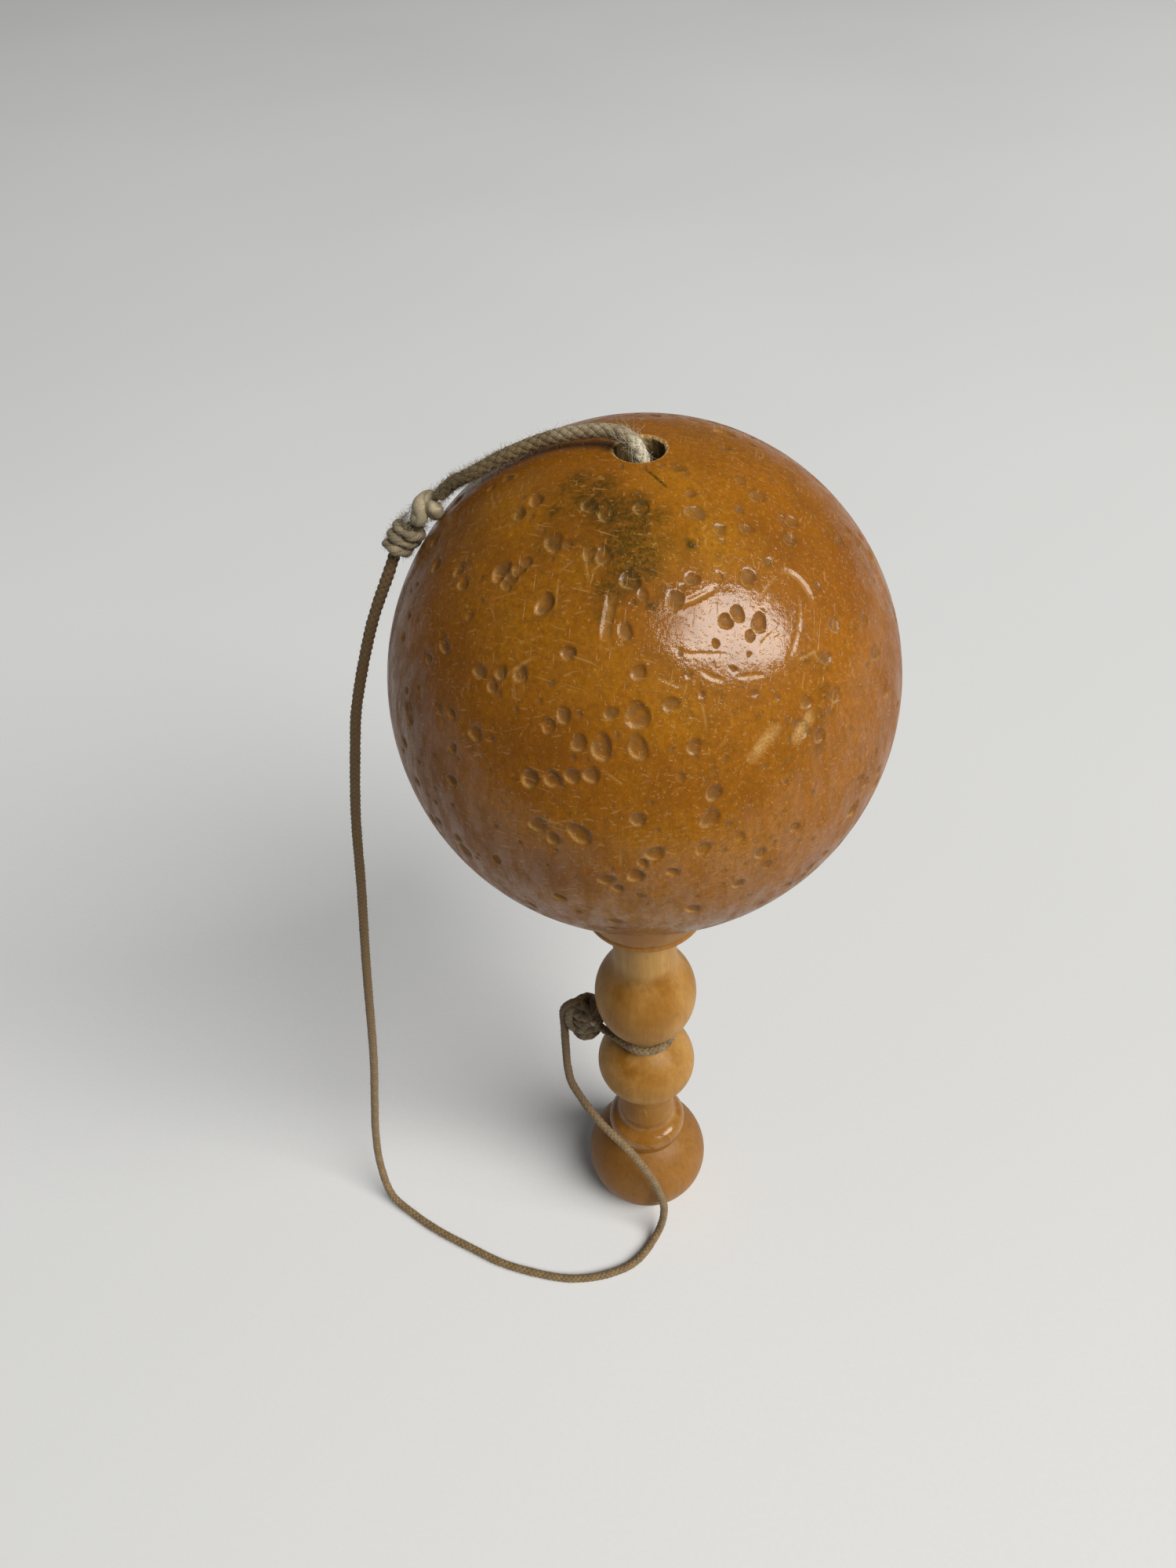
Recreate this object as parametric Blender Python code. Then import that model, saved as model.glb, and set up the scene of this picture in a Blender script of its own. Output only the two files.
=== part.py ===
"""Cup and ball game: a turned handle with a cup and a spike, and a bored wooden ball on its cord.

Metres, +Z up. The origin is the middle of the foot's flat underside, and the handle's axis is Z.
"""
import math

import bmesh
import bpy
import numpy as np
from mathutils import Vector

# Clearances
FIT_GAP = 0.0003                 # between neighbouring solids
WINDING_GAP = 0.00055            # between the turns of a wound cord
SPIKE_PLAY = 0.0010              # between the spike and the ball's bore, all round

# Foot: a nearly round base with a flat underside and a socket for the grip
FOOT_HEIGHT = 0.0224
FOOT_RADIUS = 0.0143
FOOT_WIDEST_HEIGHT = 0.0106
FOOT_FLAT_RADIUS = 0.0083
FOOT_TOP_RADIUS = 0.0076

# Grip: a tenon, a collar, a neck, two beads with a cord groove between them, and a neck
TENON_RADIUS = 0.0045
TENON_LENGTH = 0.0105
COLLAR_RADIUS = 0.0090
COLLAR_BASE_RADIUS = 0.0080
COLLAR_WIDEST_HEIGHT = 0.0042
COLLAR_SHOULDER_RADIUS = 0.0076
COLLAR_SHOULDER_HEIGHT = 0.0065  # where the rounded collar turns into the hollow above it
COLLAR_HEIGHT = 0.0113           # with that hollow
LOWER_NECK_RADIUS = 0.0064
LOWER_NECK_LENGTH = 0.0112
LOWER_BEAD_RADIUS = 0.0109
LOWER_BEAD_BELOW = 0.0073        # height of the bead below its widest ring
LOWER_BEAD_ABOVE = 0.0091        # and above it
GROOVE_RADIUS = 0.0046
GROOVE_WIDTH = 0.0057
UPPER_BEAD_RADIUS = 0.01075
UPPER_BEAD_BELOW = 0.0114
UPPER_BEAD_ABOVE = 0.0078
UPPER_BEAD_SHOULDER_RADIUS = 0.0085
UPPER_NECK_RADIUS = 0.0065
UPPER_NECK_LENGTH = 0.0211
COVE_LENGTH = 0.0075             # hollow curve from the upper bead into the neck

# Cup: a flared wall with a banded lip below, a hollow above, and a hole for the spike's tenon
CUP_HEIGHT = 0.0172              # from the underside to the mouth's inner edge
CUP_FLOOR = 0.0080
CUP_FLOOR_RADIUS = 0.0070
CUP_MOUTH_RADIUS = 0.0135
CUP_WALL = 0.0025                # at the rim
CUP_LIP_RADIUS = 0.0120
LIP_BAND_HEIGHT = 0.0013
LIP_LINE_DEPTH = 0.0003
CUP_FLARE = 0.85                 # 1 for a straight wall, less for one that bulges outward

# Spike: a peg that pins the cup to the grip and carries the ball's bore
SPIKE_LENGTH = 0.0470            # above the cup's floor
SPIKE_RADIUS = 0.00475
SPIKE_TIP_RADIUS = 0.0014
PIN_RADIUS = 0.0032
PIN_LENGTH = 0.0120              # inside the grip

# Ball: a little taller than wide, bored from below for the spike and from above for the cord
BALL_RADIUS = 0.0400
BALL_HALF_HEIGHT = 0.0409
CORD_HOLE_RADIUS = 0.00355
BORE_PAST_SPIKE = 0.0187         # from the spike's tip to the bore's inner end

# Cords
BALL_CORD_RADIUS = 0.0012
PLAY_CORD_RADIUS = 0.00095
STRAND_RADIUS = 0.0008
WHIPPING_RADIUS = 0.0005
BALL_CORD_SPACING = 2.0          # cord points, in cord diameters
PLAY_CORD_SPACING = 2.8
BEND_ALLOWANCE = 0.005           # extra length counted for each radian of bend, for closer points there
LOOP_POINTS = 24                 # points in one turn of a winding

# Knots
STOP_KNOT_TURNS = 2.5
HANDLE_KNOT_TURNS = 3.5
HANDLE_KNOT_CORE = 0.0010
HANDLE_KNOT_OUT = 0.0134         # from the handle's axis to the knot's axis
HANDLE_KNOT_ANGLE = math.radians(167.7)
WHIPPING_TURNS = 2.5

# Splice: where the eye starts and ends, and where the whipping ends
SPLICE_TOP = (-0.0295, 0.0063, 0.1939)
SPLICE_MIDDLE = (-0.0338, 0.0062, 0.1897)
SPLICE_END = (-0.0365, 0.0055, 0.1860)
EYE_SPREAD = 0.0012              # from the eye's middle line to each of its two strands

# Route of the thick cord, from inside the stop knot, out of the ball's hole and over the ball
BALL_CORD_ROUTE = (
    (0.0, 0.0, 0.1717), (0.0, 0.0, 0.1778), (0.0, 0.0, 0.1838), (0.0002, -0.0005, 0.1895),
    (0.0005, -0.0012, 0.1953), (0.0006, -0.0015, 0.2000), (0.0002, -0.0013, 0.2038),
    (-0.0013, -0.0006, 0.2062), (-0.0040, 0.0007, 0.2068), (-0.0079, 0.0021, 0.2060),
    (-0.0123, 0.0033, 0.2046), (-0.0179, 0.0038, 0.2022), (-0.0239, 0.0046, 0.1986),
    (-0.0271, 0.0060, 0.1963), SPLICE_TOP,
)
# Route of the thin cord, from the splice, down beside the ball, over the floor and up to the knot
PLAY_CORD_ROUTE = (
    SPLICE_MIDDLE, SPLICE_END, (-0.0384, 0.0049, 0.1820), (-0.0427, 0.0040, 0.1723),
    (-0.0473, 0.0030, 0.1581), (-0.0495, 0.0025, 0.1479), (-0.0524, 0.0018, 0.1309),
    (-0.0548, 0.0012, 0.1115), (-0.0581, 0.0005, 0.0869), (-0.0620, -0.0005, 0.0551),
    (-0.0650, -0.0012, 0.0354), (-0.0670, -0.0021, 0.0216), (-0.0674, -0.0046, 0.0102),
    (-0.0649, -0.0093, 0.0030), (-0.0588, -0.0137, 0.0012), (-0.0519, -0.0180, 0.0012),
    (-0.0436, -0.0221, 0.0012), (-0.0355, -0.0258, 0.0012), (-0.0277, -0.0280, 0.0012),
    (-0.0201, -0.0293, 0.0012), (-0.0140, -0.0291, 0.0012), (-0.0087, -0.0279, 0.0012),
    (-0.0043, -0.0260, 0.0012), (-0.0011, -0.0232, 0.0012), (0.0013, -0.0198, 0.0013),
    (0.0031, -0.0174, 0.0036), (0.0039, -0.0163, 0.0082), (0.0037, -0.0160, 0.0138),
    (0.0018, -0.0152, 0.0219), (-0.0012, -0.0144, 0.0293), (-0.0047, -0.0131, 0.0353),
    (-0.0111, -0.0096, 0.0418), (-0.0165, -0.0042, 0.0470), (-0.0178, -0.0016, 0.0506),
    (-0.0181, 0.0006, 0.0548), (-0.0182, 0.0024, 0.0600), (-0.0182, 0.0029, 0.0635),
    (-0.0182, 0.0030, 0.0658), (-0.0177, 0.0030, 0.0680), (-0.0163, 0.0030, 0.0697),
    (-0.0142, 0.0030, 0.0707),
)

# Places worked out from the sizes above, stacked from the floor up
GRIP_BASE = FOOT_HEIGHT + FIT_GAP
COLLAR_TOP = GRIP_BASE + COLLAR_HEIGHT
LOWER_BEAD_BOTTOM = COLLAR_TOP + LOWER_NECK_LENGTH
LOWER_BEAD_MIDDLE = LOWER_BEAD_BOTTOM + LOWER_BEAD_BELOW
GROOVE_BOTTOM = LOWER_BEAD_MIDDLE + LOWER_BEAD_ABOVE
GROOVE_MIDDLE = GROOVE_BOTTOM + GROOVE_WIDTH / 2
GROOVE_TOP = GROOVE_BOTTOM + GROOVE_WIDTH
UPPER_BEAD_MIDDLE = GROOVE_TOP + UPPER_BEAD_BELOW
UPPER_BEAD_TOP = UPPER_BEAD_MIDDLE + UPPER_BEAD_ABOVE
GRIP_TOP = UPPER_BEAD_TOP + UPPER_NECK_LENGTH
CUP_BASE = GRIP_TOP + FIT_GAP
CUP_FLOOR_TOP = CUP_BASE + CUP_FLOOR
CUP_MOUTH = CUP_BASE + CUP_HEIGHT
SPIKE_BASE = CUP_FLOOR_TOP + FIT_GAP
SPIKE_TIP = SPIKE_BASE + SPIKE_LENGTH
BORE_RADIUS = SPIKE_RADIUS + SPIKE_PLAY
BORE_END = SPIKE_TIP + BORE_PAST_SPIKE


def ball_rise(radius):
    """Height of the ball's surface above or below its middle, at a distance from its axis."""
    return BALL_HALF_HEIGHT * math.sqrt(1 - (radius / BALL_RADIUS) ** 2)


BALL_MIDDLE = CUP_MOUTH + FIT_GAP + ball_rise(CUP_MOUTH_RADIUS)

# Mesh detail
BALL_SEGMENTS = 48
TURNED_SEGMENTS = 32
SPIKE_SEGMENTS = 20
BALL_STEPS = 28                  # from the cord hole to the bore
ARC_STEP = math.radians(8)
COVE_STEPS = 5
ROUTE_STEPS = 16                 # between two points of a cord's route
CORD_BEVEL_STEPS = 2
WOUND_BEVEL_STEPS = 1
SHARP_ANGLE = math.radians(35)
WELD_DISTANCE = 1e-6


def clear_scene():
    """Removes whatever objects the open file holds."""
    for thing in list(bpy.data.objects):
        bpy.data.objects.remove(thing, do_unlink=True)


def finish(name, colour, roughness):
    """A plain material with one colour and one roughness."""
    material = bpy.data.materials.new(name)
    material.use_nodes = True
    shader = material.node_tree.nodes["Principled BSDF"]
    shader.inputs["Base Color"].default_value = (*colour, 1.0)
    shader.inputs["Roughness"].default_value = roughness
    shader.inputs["Metallic"].default_value = 0.0
    return material


def place(name, data, material):
    """Links a mesh or a curve into the scene as a named object with its own material."""
    data.materials.append(material)
    thing = bpy.data.objects.new(name, data)
    bpy.context.scene.collection.objects.link(thing)
    return thing


def turned(name, outline, segments, material, ring=False):
    """A lathe-turned piece: an outline of (radius, height) points, top to bottom, spun about Z."""
    bm = bmesh.new()
    points = [bm.verts.new((radius, 0.0, height)) for radius, height in outline]
    pairs = list(zip(points, points[1:]))
    if ring:
        pairs.append((points[-1], points[0]))
    edges = [bm.edges.new(pair) for pair in pairs]
    bmesh.ops.spin(bm, geom=points + edges, cent=(0, 0, 0), axis=(0, 0, 1),
                   angle=2 * math.pi, steps=segments, use_merge=True)
    bmesh.ops.remove_doubles(bm, verts=bm.verts, dist=WELD_DISTANCE)
    bmesh.ops.recalc_face_normals(bm, faces=bm.faces)
    mesh = bpy.data.meshes.new(name)
    bm.to_mesh(mesh)
    bm.free()
    mesh.shade_smooth()
    mesh.set_sharp_from_angle(angle=SHARP_ANGLE)
    return place(name, mesh, material)


def oval(widest, end):
    """Points of an oval arc from its widest (radius, height) point to an end nearer the axis."""
    reach = math.acos(end[0] / widest[0])
    steps = max(round(reach / ARC_STEP), 2)
    half_height = (end[1] - widest[1]) / math.sin(reach)
    arc = []
    for step in range(steps + 1):
        angle = reach * step / steps
        arc.append((widest[0] * math.cos(angle), widest[1] + half_height * math.sin(angle)))
    return arc


def cove(arc, end):
    """Points of a hollow curve that goes on from an arc's last points and reaches end running straight up."""
    start = Vector(arc[-1])
    slope = (start - Vector(arc[-2])).normalized()
    pull = (end[1] - start.y) / 2
    handles = (
        start,
        start + slope * pull,
        Vector(end) - Vector((0.0, pull)),
        Vector(end),
    )
    curve = []
    for step in range(1, COVE_STEPS + 1):
        t = step / COVE_STEPS
        weights = ((1 - t) ** 3, 3 * t * (1 - t) ** 2, 3 * t * t * (1 - t), t ** 3)
        point = sum((w * h for w, h in zip(weights, handles)), Vector((0.0, 0.0)))
        curve.append((point.x, point.y))
    return curve


def smooth_route(route, spacing):
    """Points about spacing apart, and closer in bends, on a smooth curve through a route's points."""
    knots = np.array(route)
    padded = np.vstack([2 * knots[0] - knots[1], knots, 2 * knots[-1] - knots[-2]])
    fine = []
    for before, start, end, after in zip(padded, padded[1:], padded[2:], padded[3:]):
        for t in np.linspace(0, 1, ROUTE_STEPS, endpoint=False):
            bend = (2 * before - 5 * start + 4 * end - after) * t ** 2
            twist = (3 * start - before - 3 * end + after) * t ** 3
            fine.append(start + ((end - before) * t + bend + twist) / 2)
    fine.append(knots[-1])
    fine = np.array(fine)
    steps = np.diff(fine, axis=0)
    lengths = np.linalg.norm(steps, axis=1)
    headings = steps / lengths[:, None]
    bends = np.linalg.norm(np.diff(headings, axis=0), axis=1)
    lengths[1:] += BEND_ALLOWANCE * bends
    along = np.concatenate([[0.0], np.cumsum(lengths)])
    count = round(along[-1] / spacing) + 1
    even = np.linspace(0.0, along[-1], count)
    return np.column_stack([np.interp(even, along, fine[:, axis]) for axis in range(3)])


def tube(name, points, radius, detail, material):
    """A cord: a round tube with closed ends along a line of points."""
    curve = bpy.data.curves.new(name, "CURVE")
    curve.dimensions = "3D"
    curve.bevel_depth = radius
    curve.bevel_resolution = detail
    curve.use_fill_caps = True
    spline = curve.splines.new("POLY")
    spline.points.add(len(points) - 1)
    for knot, point in zip(spline.points, points):
        knot.co = (*point, 1.0)
    spline.use_smooth = True
    length = np.linalg.norm(np.diff(points, axis=0), axis=1).sum()
    print(f"{name}: {len(points)} points, {length:.4f} m long")
    return place(name, curve, material)


def report_gap(name, points, radius, apart):
    """Prints the least gap between a tube and itself, between points that many steps apart."""
    away = np.linalg.norm(points[:, None] - points[None], axis=2)
    index = np.arange(len(points))
    far = np.abs(index[:, None] - index[None]) >= apart
    print(f"{name}: least gap to itself {1000 * (away[far].min() - 2 * radius):.2f} mm")


def winding(middle, axis, core_radius, tube_radius, turns):
    """Centre line of a cord wound round a core: a helix whose ends run out straight for a diameter."""
    ring = core_radius + FIT_GAP + tube_radius
    pitch = 2 * tube_radius + WINDING_GAP
    angles = math.pi + np.arange(round(turns * LOOP_POINTS) + 1) * 2 * math.pi / LOOP_POINTS
    rise = pitch * (angles - angles.mean()) / (2 * math.pi)
    helix = np.column_stack([ring * np.cos(angles), ring * np.sin(angles), rise])
    climb = np.full(len(angles), pitch / (2 * math.pi))
    ahead = np.column_stack([-ring * np.sin(angles), ring * np.cos(angles), climb])
    lead = 2 * tube_radius / np.linalg.norm(ahead[0])
    line = np.vstack([helix[0] - lead * ahead[0], helix, helix[-1] + lead * ahead[-1]])
    turn = Vector((0, 0, 1)).rotation_difference(Vector(axis)).to_matrix()
    return line @ np.array(turn).T + np.array(middle)


def build_foot(material):
    socket_bottom = FOOT_HEIGHT - TENON_LENGTH
    socket_radius = TENON_RADIUS + FIT_GAP
    widest = (FOOT_RADIUS, FOOT_WIDEST_HEIGHT)
    upper = oval(widest, (FOOT_TOP_RADIUS, FOOT_HEIGHT))
    lower = oval(widest, (FOOT_FLAT_RADIUS, 0.0))
    outline = [(0.0, socket_bottom), (socket_radius, socket_bottom), (socket_radius, FOOT_HEIGHT)]
    outline += upper[::-1] + lower[1:] + [(0.0, 0.0)]
    turned("foot", outline, TURNED_SEGMENTS, material)


def build_grip(material):
    socket_radius = PIN_RADIUS + FIT_GAP
    socket_bottom = GRIP_TOP - PIN_LENGTH - FIT_GAP
    upper_widest = (UPPER_BEAD_RADIUS, UPPER_BEAD_MIDDLE)
    lower_widest = (LOWER_BEAD_RADIUS, LOWER_BEAD_MIDDLE)
    collar_widest = (COLLAR_RADIUS, GRIP_BASE + COLLAR_WIDEST_HEIGHT)
    shoulder = oval(upper_widest, (UPPER_BEAD_SHOULDER_RADIUS, UPPER_BEAD_TOP))
    hollow = cove(shoulder, (UPPER_NECK_RADIUS, UPPER_BEAD_TOP + COVE_LENGTH))
    collar = oval(collar_widest, (COLLAR_SHOULDER_RADIUS, GRIP_BASE + COLLAR_SHOULDER_HEIGHT))
    collar_hollow = cove(collar, (LOWER_NECK_RADIUS, COLLAR_TOP))
    outline = [(0.0, socket_bottom), (socket_radius, socket_bottom), (socket_radius, GRIP_TOP)]
    outline += [(UPPER_NECK_RADIUS, GRIP_TOP)]
    outline += hollow[::-1] + shoulder[::-1]
    outline += oval(upper_widest, (GROOVE_RADIUS, GROOVE_TOP))[1:]
    outline += oval(lower_widest, (GROOVE_RADIUS, GROOVE_BOTTOM))[::-1]
    outline += oval(lower_widest, (LOWER_NECK_RADIUS, LOWER_BEAD_BOTTOM))[1:]
    outline += collar_hollow[::-1] + collar[::-1]
    outline += oval(collar_widest, (COLLAR_BASE_RADIUS, GRIP_BASE))[1:]
    outline += [(TENON_RADIUS, GRIP_BASE), (TENON_RADIUS, GRIP_BASE - TENON_LENGTH)]
    outline += [(0.0, GRIP_BASE - TENON_LENGTH)]
    turned("grip", outline, TURNED_SEGMENTS, material)


def build_cup(material):
    hole_radius = PIN_RADIUS + FIT_GAP
    band_top = CUP_BASE + LIP_BAND_HEIGHT
    rim_radius = CUP_MOUTH_RADIUS + CUP_WALL
    rim_top = BALL_MIDDLE - ball_rise(rim_radius) - FIT_GAP
    flare_steps = 6
    outline = []
    for step in range(flare_steps + 1):
        t = step / flare_steps
        outline.append((rim_radius + (CUP_LIP_RADIUS - rim_radius) * t,
                        rim_top + (band_top + LIP_LINE_DEPTH - rim_top) * t ** CUP_FLARE))
    outline += [(CUP_LIP_RADIUS - LIP_LINE_DEPTH, band_top), (CUP_LIP_RADIUS, band_top - LIP_LINE_DEPTH)]
    outline += [(CUP_LIP_RADIUS, CUP_BASE + LIP_LINE_DEPTH), (CUP_LIP_RADIUS - LIP_LINE_DEPTH, CUP_BASE)]
    outline += [(hole_radius, CUP_BASE), (hole_radius, CUP_FLOOR_TOP)]
    hollow = oval((CUP_MOUTH_RADIUS, CUP_MOUTH), (CUP_FLOOR_RADIUS, CUP_FLOOR_TOP))
    outline += hollow[::-1]
    seat_steps = 3
    for step in range(1, seat_steps):
        radius = CUP_MOUTH_RADIUS + CUP_WALL * step / seat_steps
        outline.append((radius, BALL_MIDDLE - ball_rise(radius) - FIT_GAP))
    turned("cup", outline, TURNED_SEGMENTS, material, ring=True)


def build_spike(material):
    tip_steps = 5
    outline = []
    for step in range(tip_steps + 1):
        angle = math.pi / 2 * step / tip_steps
        outline.append((SPIKE_TIP_RADIUS * math.sin(angle),
                        SPIKE_TIP - SPIKE_TIP_RADIUS * (1 - math.cos(angle))))
    pin_bottom = GRIP_TOP - PIN_LENGTH
    outline += [(SPIKE_RADIUS, SPIKE_BASE), (PIN_RADIUS, SPIKE_BASE), (PIN_RADIUS, pin_bottom)]
    outline += [(0.0, pin_bottom)]
    turned("spike", outline, SPIKE_SEGMENTS, material)


def build_ball(material):
    top = math.acos(CORD_HOLE_RADIUS / BALL_RADIUS)
    bottom = -math.acos(BORE_RADIUS / BALL_RADIUS)
    outline = []
    for step in range(BALL_STEPS + 1):
        angle = top + (bottom - top) * step / BALL_STEPS
        outline.append((BALL_RADIUS * math.cos(angle), BALL_MIDDLE + BALL_HALF_HEIGHT * math.sin(angle)))
    outline += [(BORE_RADIUS, BORE_END), (CORD_HOLE_RADIUS, BORE_END)]
    turned("ball", outline, BALL_SEGMENTS, material, ring=True)


def build_stop_knot(material):
    """A winding on the thick cord's end, pulled up against the inner end of the ball's bore."""
    line = winding((0, 0, 0), (0, 0, 1), BALL_CORD_RADIUS, BALL_CORD_RADIUS, STOP_KNOT_TURNS)
    line[:, 2] += BORE_END - FIT_GAP - BALL_CORD_RADIUS - line[:, 2].max()
    report_gap("stop_knot", line, BALL_CORD_RADIUS, LOOP_POINTS // 2)
    tube("stop_knot", line, BALL_CORD_RADIUS, WOUND_BEVEL_STEPS, material)


def build_handle_knot(material):
    middle = (HANDLE_KNOT_OUT * math.cos(HANDLE_KNOT_ANGLE),
              HANDLE_KNOT_OUT * math.sin(HANDLE_KNOT_ANGLE), GROOVE_MIDDLE)
    line = winding(middle, (0, 0, 1), HANDLE_KNOT_CORE, PLAY_CORD_RADIUS, HANDLE_KNOT_TURNS)
    report_gap("handle_knot", line, PLAY_CORD_RADIUS, LOOP_POINTS // 2)
    tube("handle_knot", line, PLAY_CORD_RADIUS, WOUND_BEVEL_STEPS, material)


def build_groove_loop(material):
    """One turn round the groove, whose two ends run straight to the handle knot."""
    ring = GROOVE_RADIUS + FIT_GAP + PLAY_CORD_RADIUS
    knot_radius = HANDLE_KNOT_CORE + FIT_GAP + 2 * PLAY_CORD_RADIUS
    leave = math.acos(ring / HANDLE_KNOT_OUT)
    straight = math.sqrt(HANDLE_KNOT_OUT ** 2 - ring ** 2) - knot_radius - FIT_GAP
    arc_steps = round(LOOP_POINTS * (1 - leave / math.pi))
    plan = []
    for step in range(arc_steps + 1):
        angle = leave + (2 * math.pi - 2 * leave) * step / arc_steps
        plan.append((ring * math.cos(angle), ring * math.sin(angle)))
    straight_steps = 4
    for step in range(1, straight_steps + 1):
        out = straight * step / straight_steps
        ahead = (math.sin(leave) * out, math.cos(leave) * out)
        plan.append((ring * math.cos(leave) + ahead[0], -ring * math.sin(leave) + ahead[1]))
        plan.insert(0, (ring * math.cos(leave) + ahead[0], ring * math.sin(leave) - ahead[1]))
    cosine, sine = math.cos(HANDLE_KNOT_ANGLE), math.sin(HANDLE_KNOT_ANGLE)
    line = np.array([(x * cosine - y * sine, x * sine + y * cosine, GROOVE_MIDDLE) for x, y in plan])
    report_gap("groove_loop", line, PLAY_CORD_RADIUS, LOOP_POINTS // 2)
    tube("groove_loop", line, PLAY_CORD_RADIUS, CORD_BEVEL_STEPS, material)


def build_splice_eye(material):
    """Two strands, half twisted about each other, that turn back into one another at the bottom."""
    top = Vector(SPLICE_TOP)
    along = (Vector(SPLICE_MIDDLE) - top).normalized()
    outward = (top - Vector((0.0, 0.0, BALL_MIDDLE))).normalized()
    side = along.cross(outward).normalized()
    outward = side.cross(along)
    first = top + along * FIT_GAP
    turn_back = Vector(SPLICE_MIDDLE) - along * (EYE_SPREAD + STRAND_RADIUS + FIT_GAP)
    run = (turn_back - first).length
    run_steps = 10
    strands = ([], [])
    for step in range(run_steps + 1):
        t = step / run_steps
        twist = math.pi * t * t * (3 - 2 * t)
        offset = (side * math.cos(twist) + outward * math.sin(twist)) * EYE_SPREAD
        middle = first + along * run * t
        strands[0].append(middle + offset)
        strands[1].append(middle - offset)
    bend_steps = 6
    bend = []
    for step in range(1, bend_steps):
        angle = math.pi * step / bend_steps
        bend.append(turn_back + (along * math.sin(angle) - side * math.cos(angle)) * EYE_SPREAD)
    line = np.array([tuple(point) for point in strands[0] + bend + strands[1][::-1]])
    report_gap("splice_eye", line, STRAND_RADIUS, bend_steps + 4)
    tube("splice_eye", line, STRAND_RADIUS, WOUND_BEVEL_STEPS, material)


def build_splice_whipping(material):
    axis = Vector(SPLICE_END) - Vector(SPLICE_MIDDLE)
    middle = (Vector(SPLICE_MIDDLE) + Vector(SPLICE_END)) / 2 + axis.normalized() * FIT_GAP
    line = winding(middle, axis, PLAY_CORD_RADIUS, WHIPPING_RADIUS, WHIPPING_TURNS)
    report_gap("splice_whipping", line, WHIPPING_RADIUS, LOOP_POINTS // 2)
    tube("splice_whipping", line, WHIPPING_RADIUS, WOUND_BEVEL_STEPS, material)


def main():
    clear_scene()
    build_foot(finish("brown wood", (0.33, 0.15, 0.035), 0.35))
    build_grip(finish("honey wood", (0.48, 0.25, 0.065), 0.40))
    build_cup(finish("cup wood", (0.44, 0.21, 0.055), 0.40))
    build_spike(finish("spike wood", (0.40, 0.22, 0.08), 0.45))
    build_ball(finish("amber wood", (0.42, 0.16, 0.025), 0.28))
    pale = finish("pale cord", (0.42, 0.35, 0.24), 0.90)
    build_stop_knot(pale)
    ball_line = smooth_route(BALL_CORD_ROUTE, 2 * BALL_CORD_RADIUS * BALL_CORD_SPACING)
    thick = finish("thick cord", (0.36, 0.29, 0.18), 0.90)
    tube("ball_cord", ball_line, BALL_CORD_RADIUS, CORD_BEVEL_STEPS, thick)
    build_splice_eye(finish("splice strands", (0.48, 0.42, 0.31), 0.85))
    build_splice_whipping(finish("whipping", (0.50, 0.45, 0.35), 0.90))
    play_line = smooth_route(PLAY_CORD_ROUTE, 2 * PLAY_CORD_RADIUS * PLAY_CORD_SPACING)
    thin = finish("thin cord", (0.25, 0.17, 0.08), 0.90)
    tube("play_cord", play_line, PLAY_CORD_RADIUS, CORD_BEVEL_STEPS, thin)
    build_handle_knot(finish("knot cord", (0.09, 0.06, 0.03), 0.90))
    build_groove_loop(finish("loop cord", (0.16, 0.11, 0.06), 0.90))


main()
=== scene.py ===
import math

import bpy
import numpy as np
from mathutils import Matrix, Vector


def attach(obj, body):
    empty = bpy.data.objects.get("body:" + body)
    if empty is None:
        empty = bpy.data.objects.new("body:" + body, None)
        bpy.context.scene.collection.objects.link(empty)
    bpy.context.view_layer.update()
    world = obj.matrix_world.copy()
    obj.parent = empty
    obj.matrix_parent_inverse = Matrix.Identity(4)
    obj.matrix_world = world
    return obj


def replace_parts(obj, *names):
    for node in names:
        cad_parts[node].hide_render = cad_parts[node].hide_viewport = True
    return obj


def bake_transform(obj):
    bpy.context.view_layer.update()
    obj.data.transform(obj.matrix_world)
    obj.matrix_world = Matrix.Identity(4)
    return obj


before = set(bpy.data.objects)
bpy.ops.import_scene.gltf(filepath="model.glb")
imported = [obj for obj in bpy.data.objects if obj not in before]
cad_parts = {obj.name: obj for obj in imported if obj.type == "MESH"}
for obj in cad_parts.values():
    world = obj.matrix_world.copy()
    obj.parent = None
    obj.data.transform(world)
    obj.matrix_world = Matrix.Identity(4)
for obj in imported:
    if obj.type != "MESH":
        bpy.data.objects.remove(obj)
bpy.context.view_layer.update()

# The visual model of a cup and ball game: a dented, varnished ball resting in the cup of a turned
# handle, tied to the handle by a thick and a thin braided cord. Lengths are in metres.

rng = np.random.default_rng(11)

# Camera, on a frame 1500 x 2000 pixels in size
FRAME_WIDTH = 1500
FRAME_HEIGHT = 2000
FOCAL_PIXELS = 1480.0
SENSOR = 36.0
CAMERA_PLACE = np.array((0.0, -0.141826, 0.283324))
CAMERA_FORWARD = np.array((-0.04752714, 0.70443883, -0.70817166))
CAMERA_UP = np.array((0.01055898, 0.70928754, 0.70484019))
CAMERA_RIGHT = np.array((0.99881414, 0.02602147, -0.04114856))

# Floor and light
FLOOR_SIDE = 3.0
FLOOR_BACK = 3.0
FLOOR_FRONT = -0.30
LIGHT_WAY = (0.589, -0.396, 0.704)
LIGHT_LONG_WAY = (0.772, 0.363, -0.522)
LIGHT_DISTANCE = 4.0
LIGHT_LENGTH = 4.00
LIGHT_WIDTH = 2.16
LIGHT_POWER = 222.0
LIGHT_COLOUR = (1.0, 0.958, 0.885)
ROOM_COLOUR = (0.97, 0.985, 1.0, 1.0)
ROOM_STRENGTH = 0.12

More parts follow.
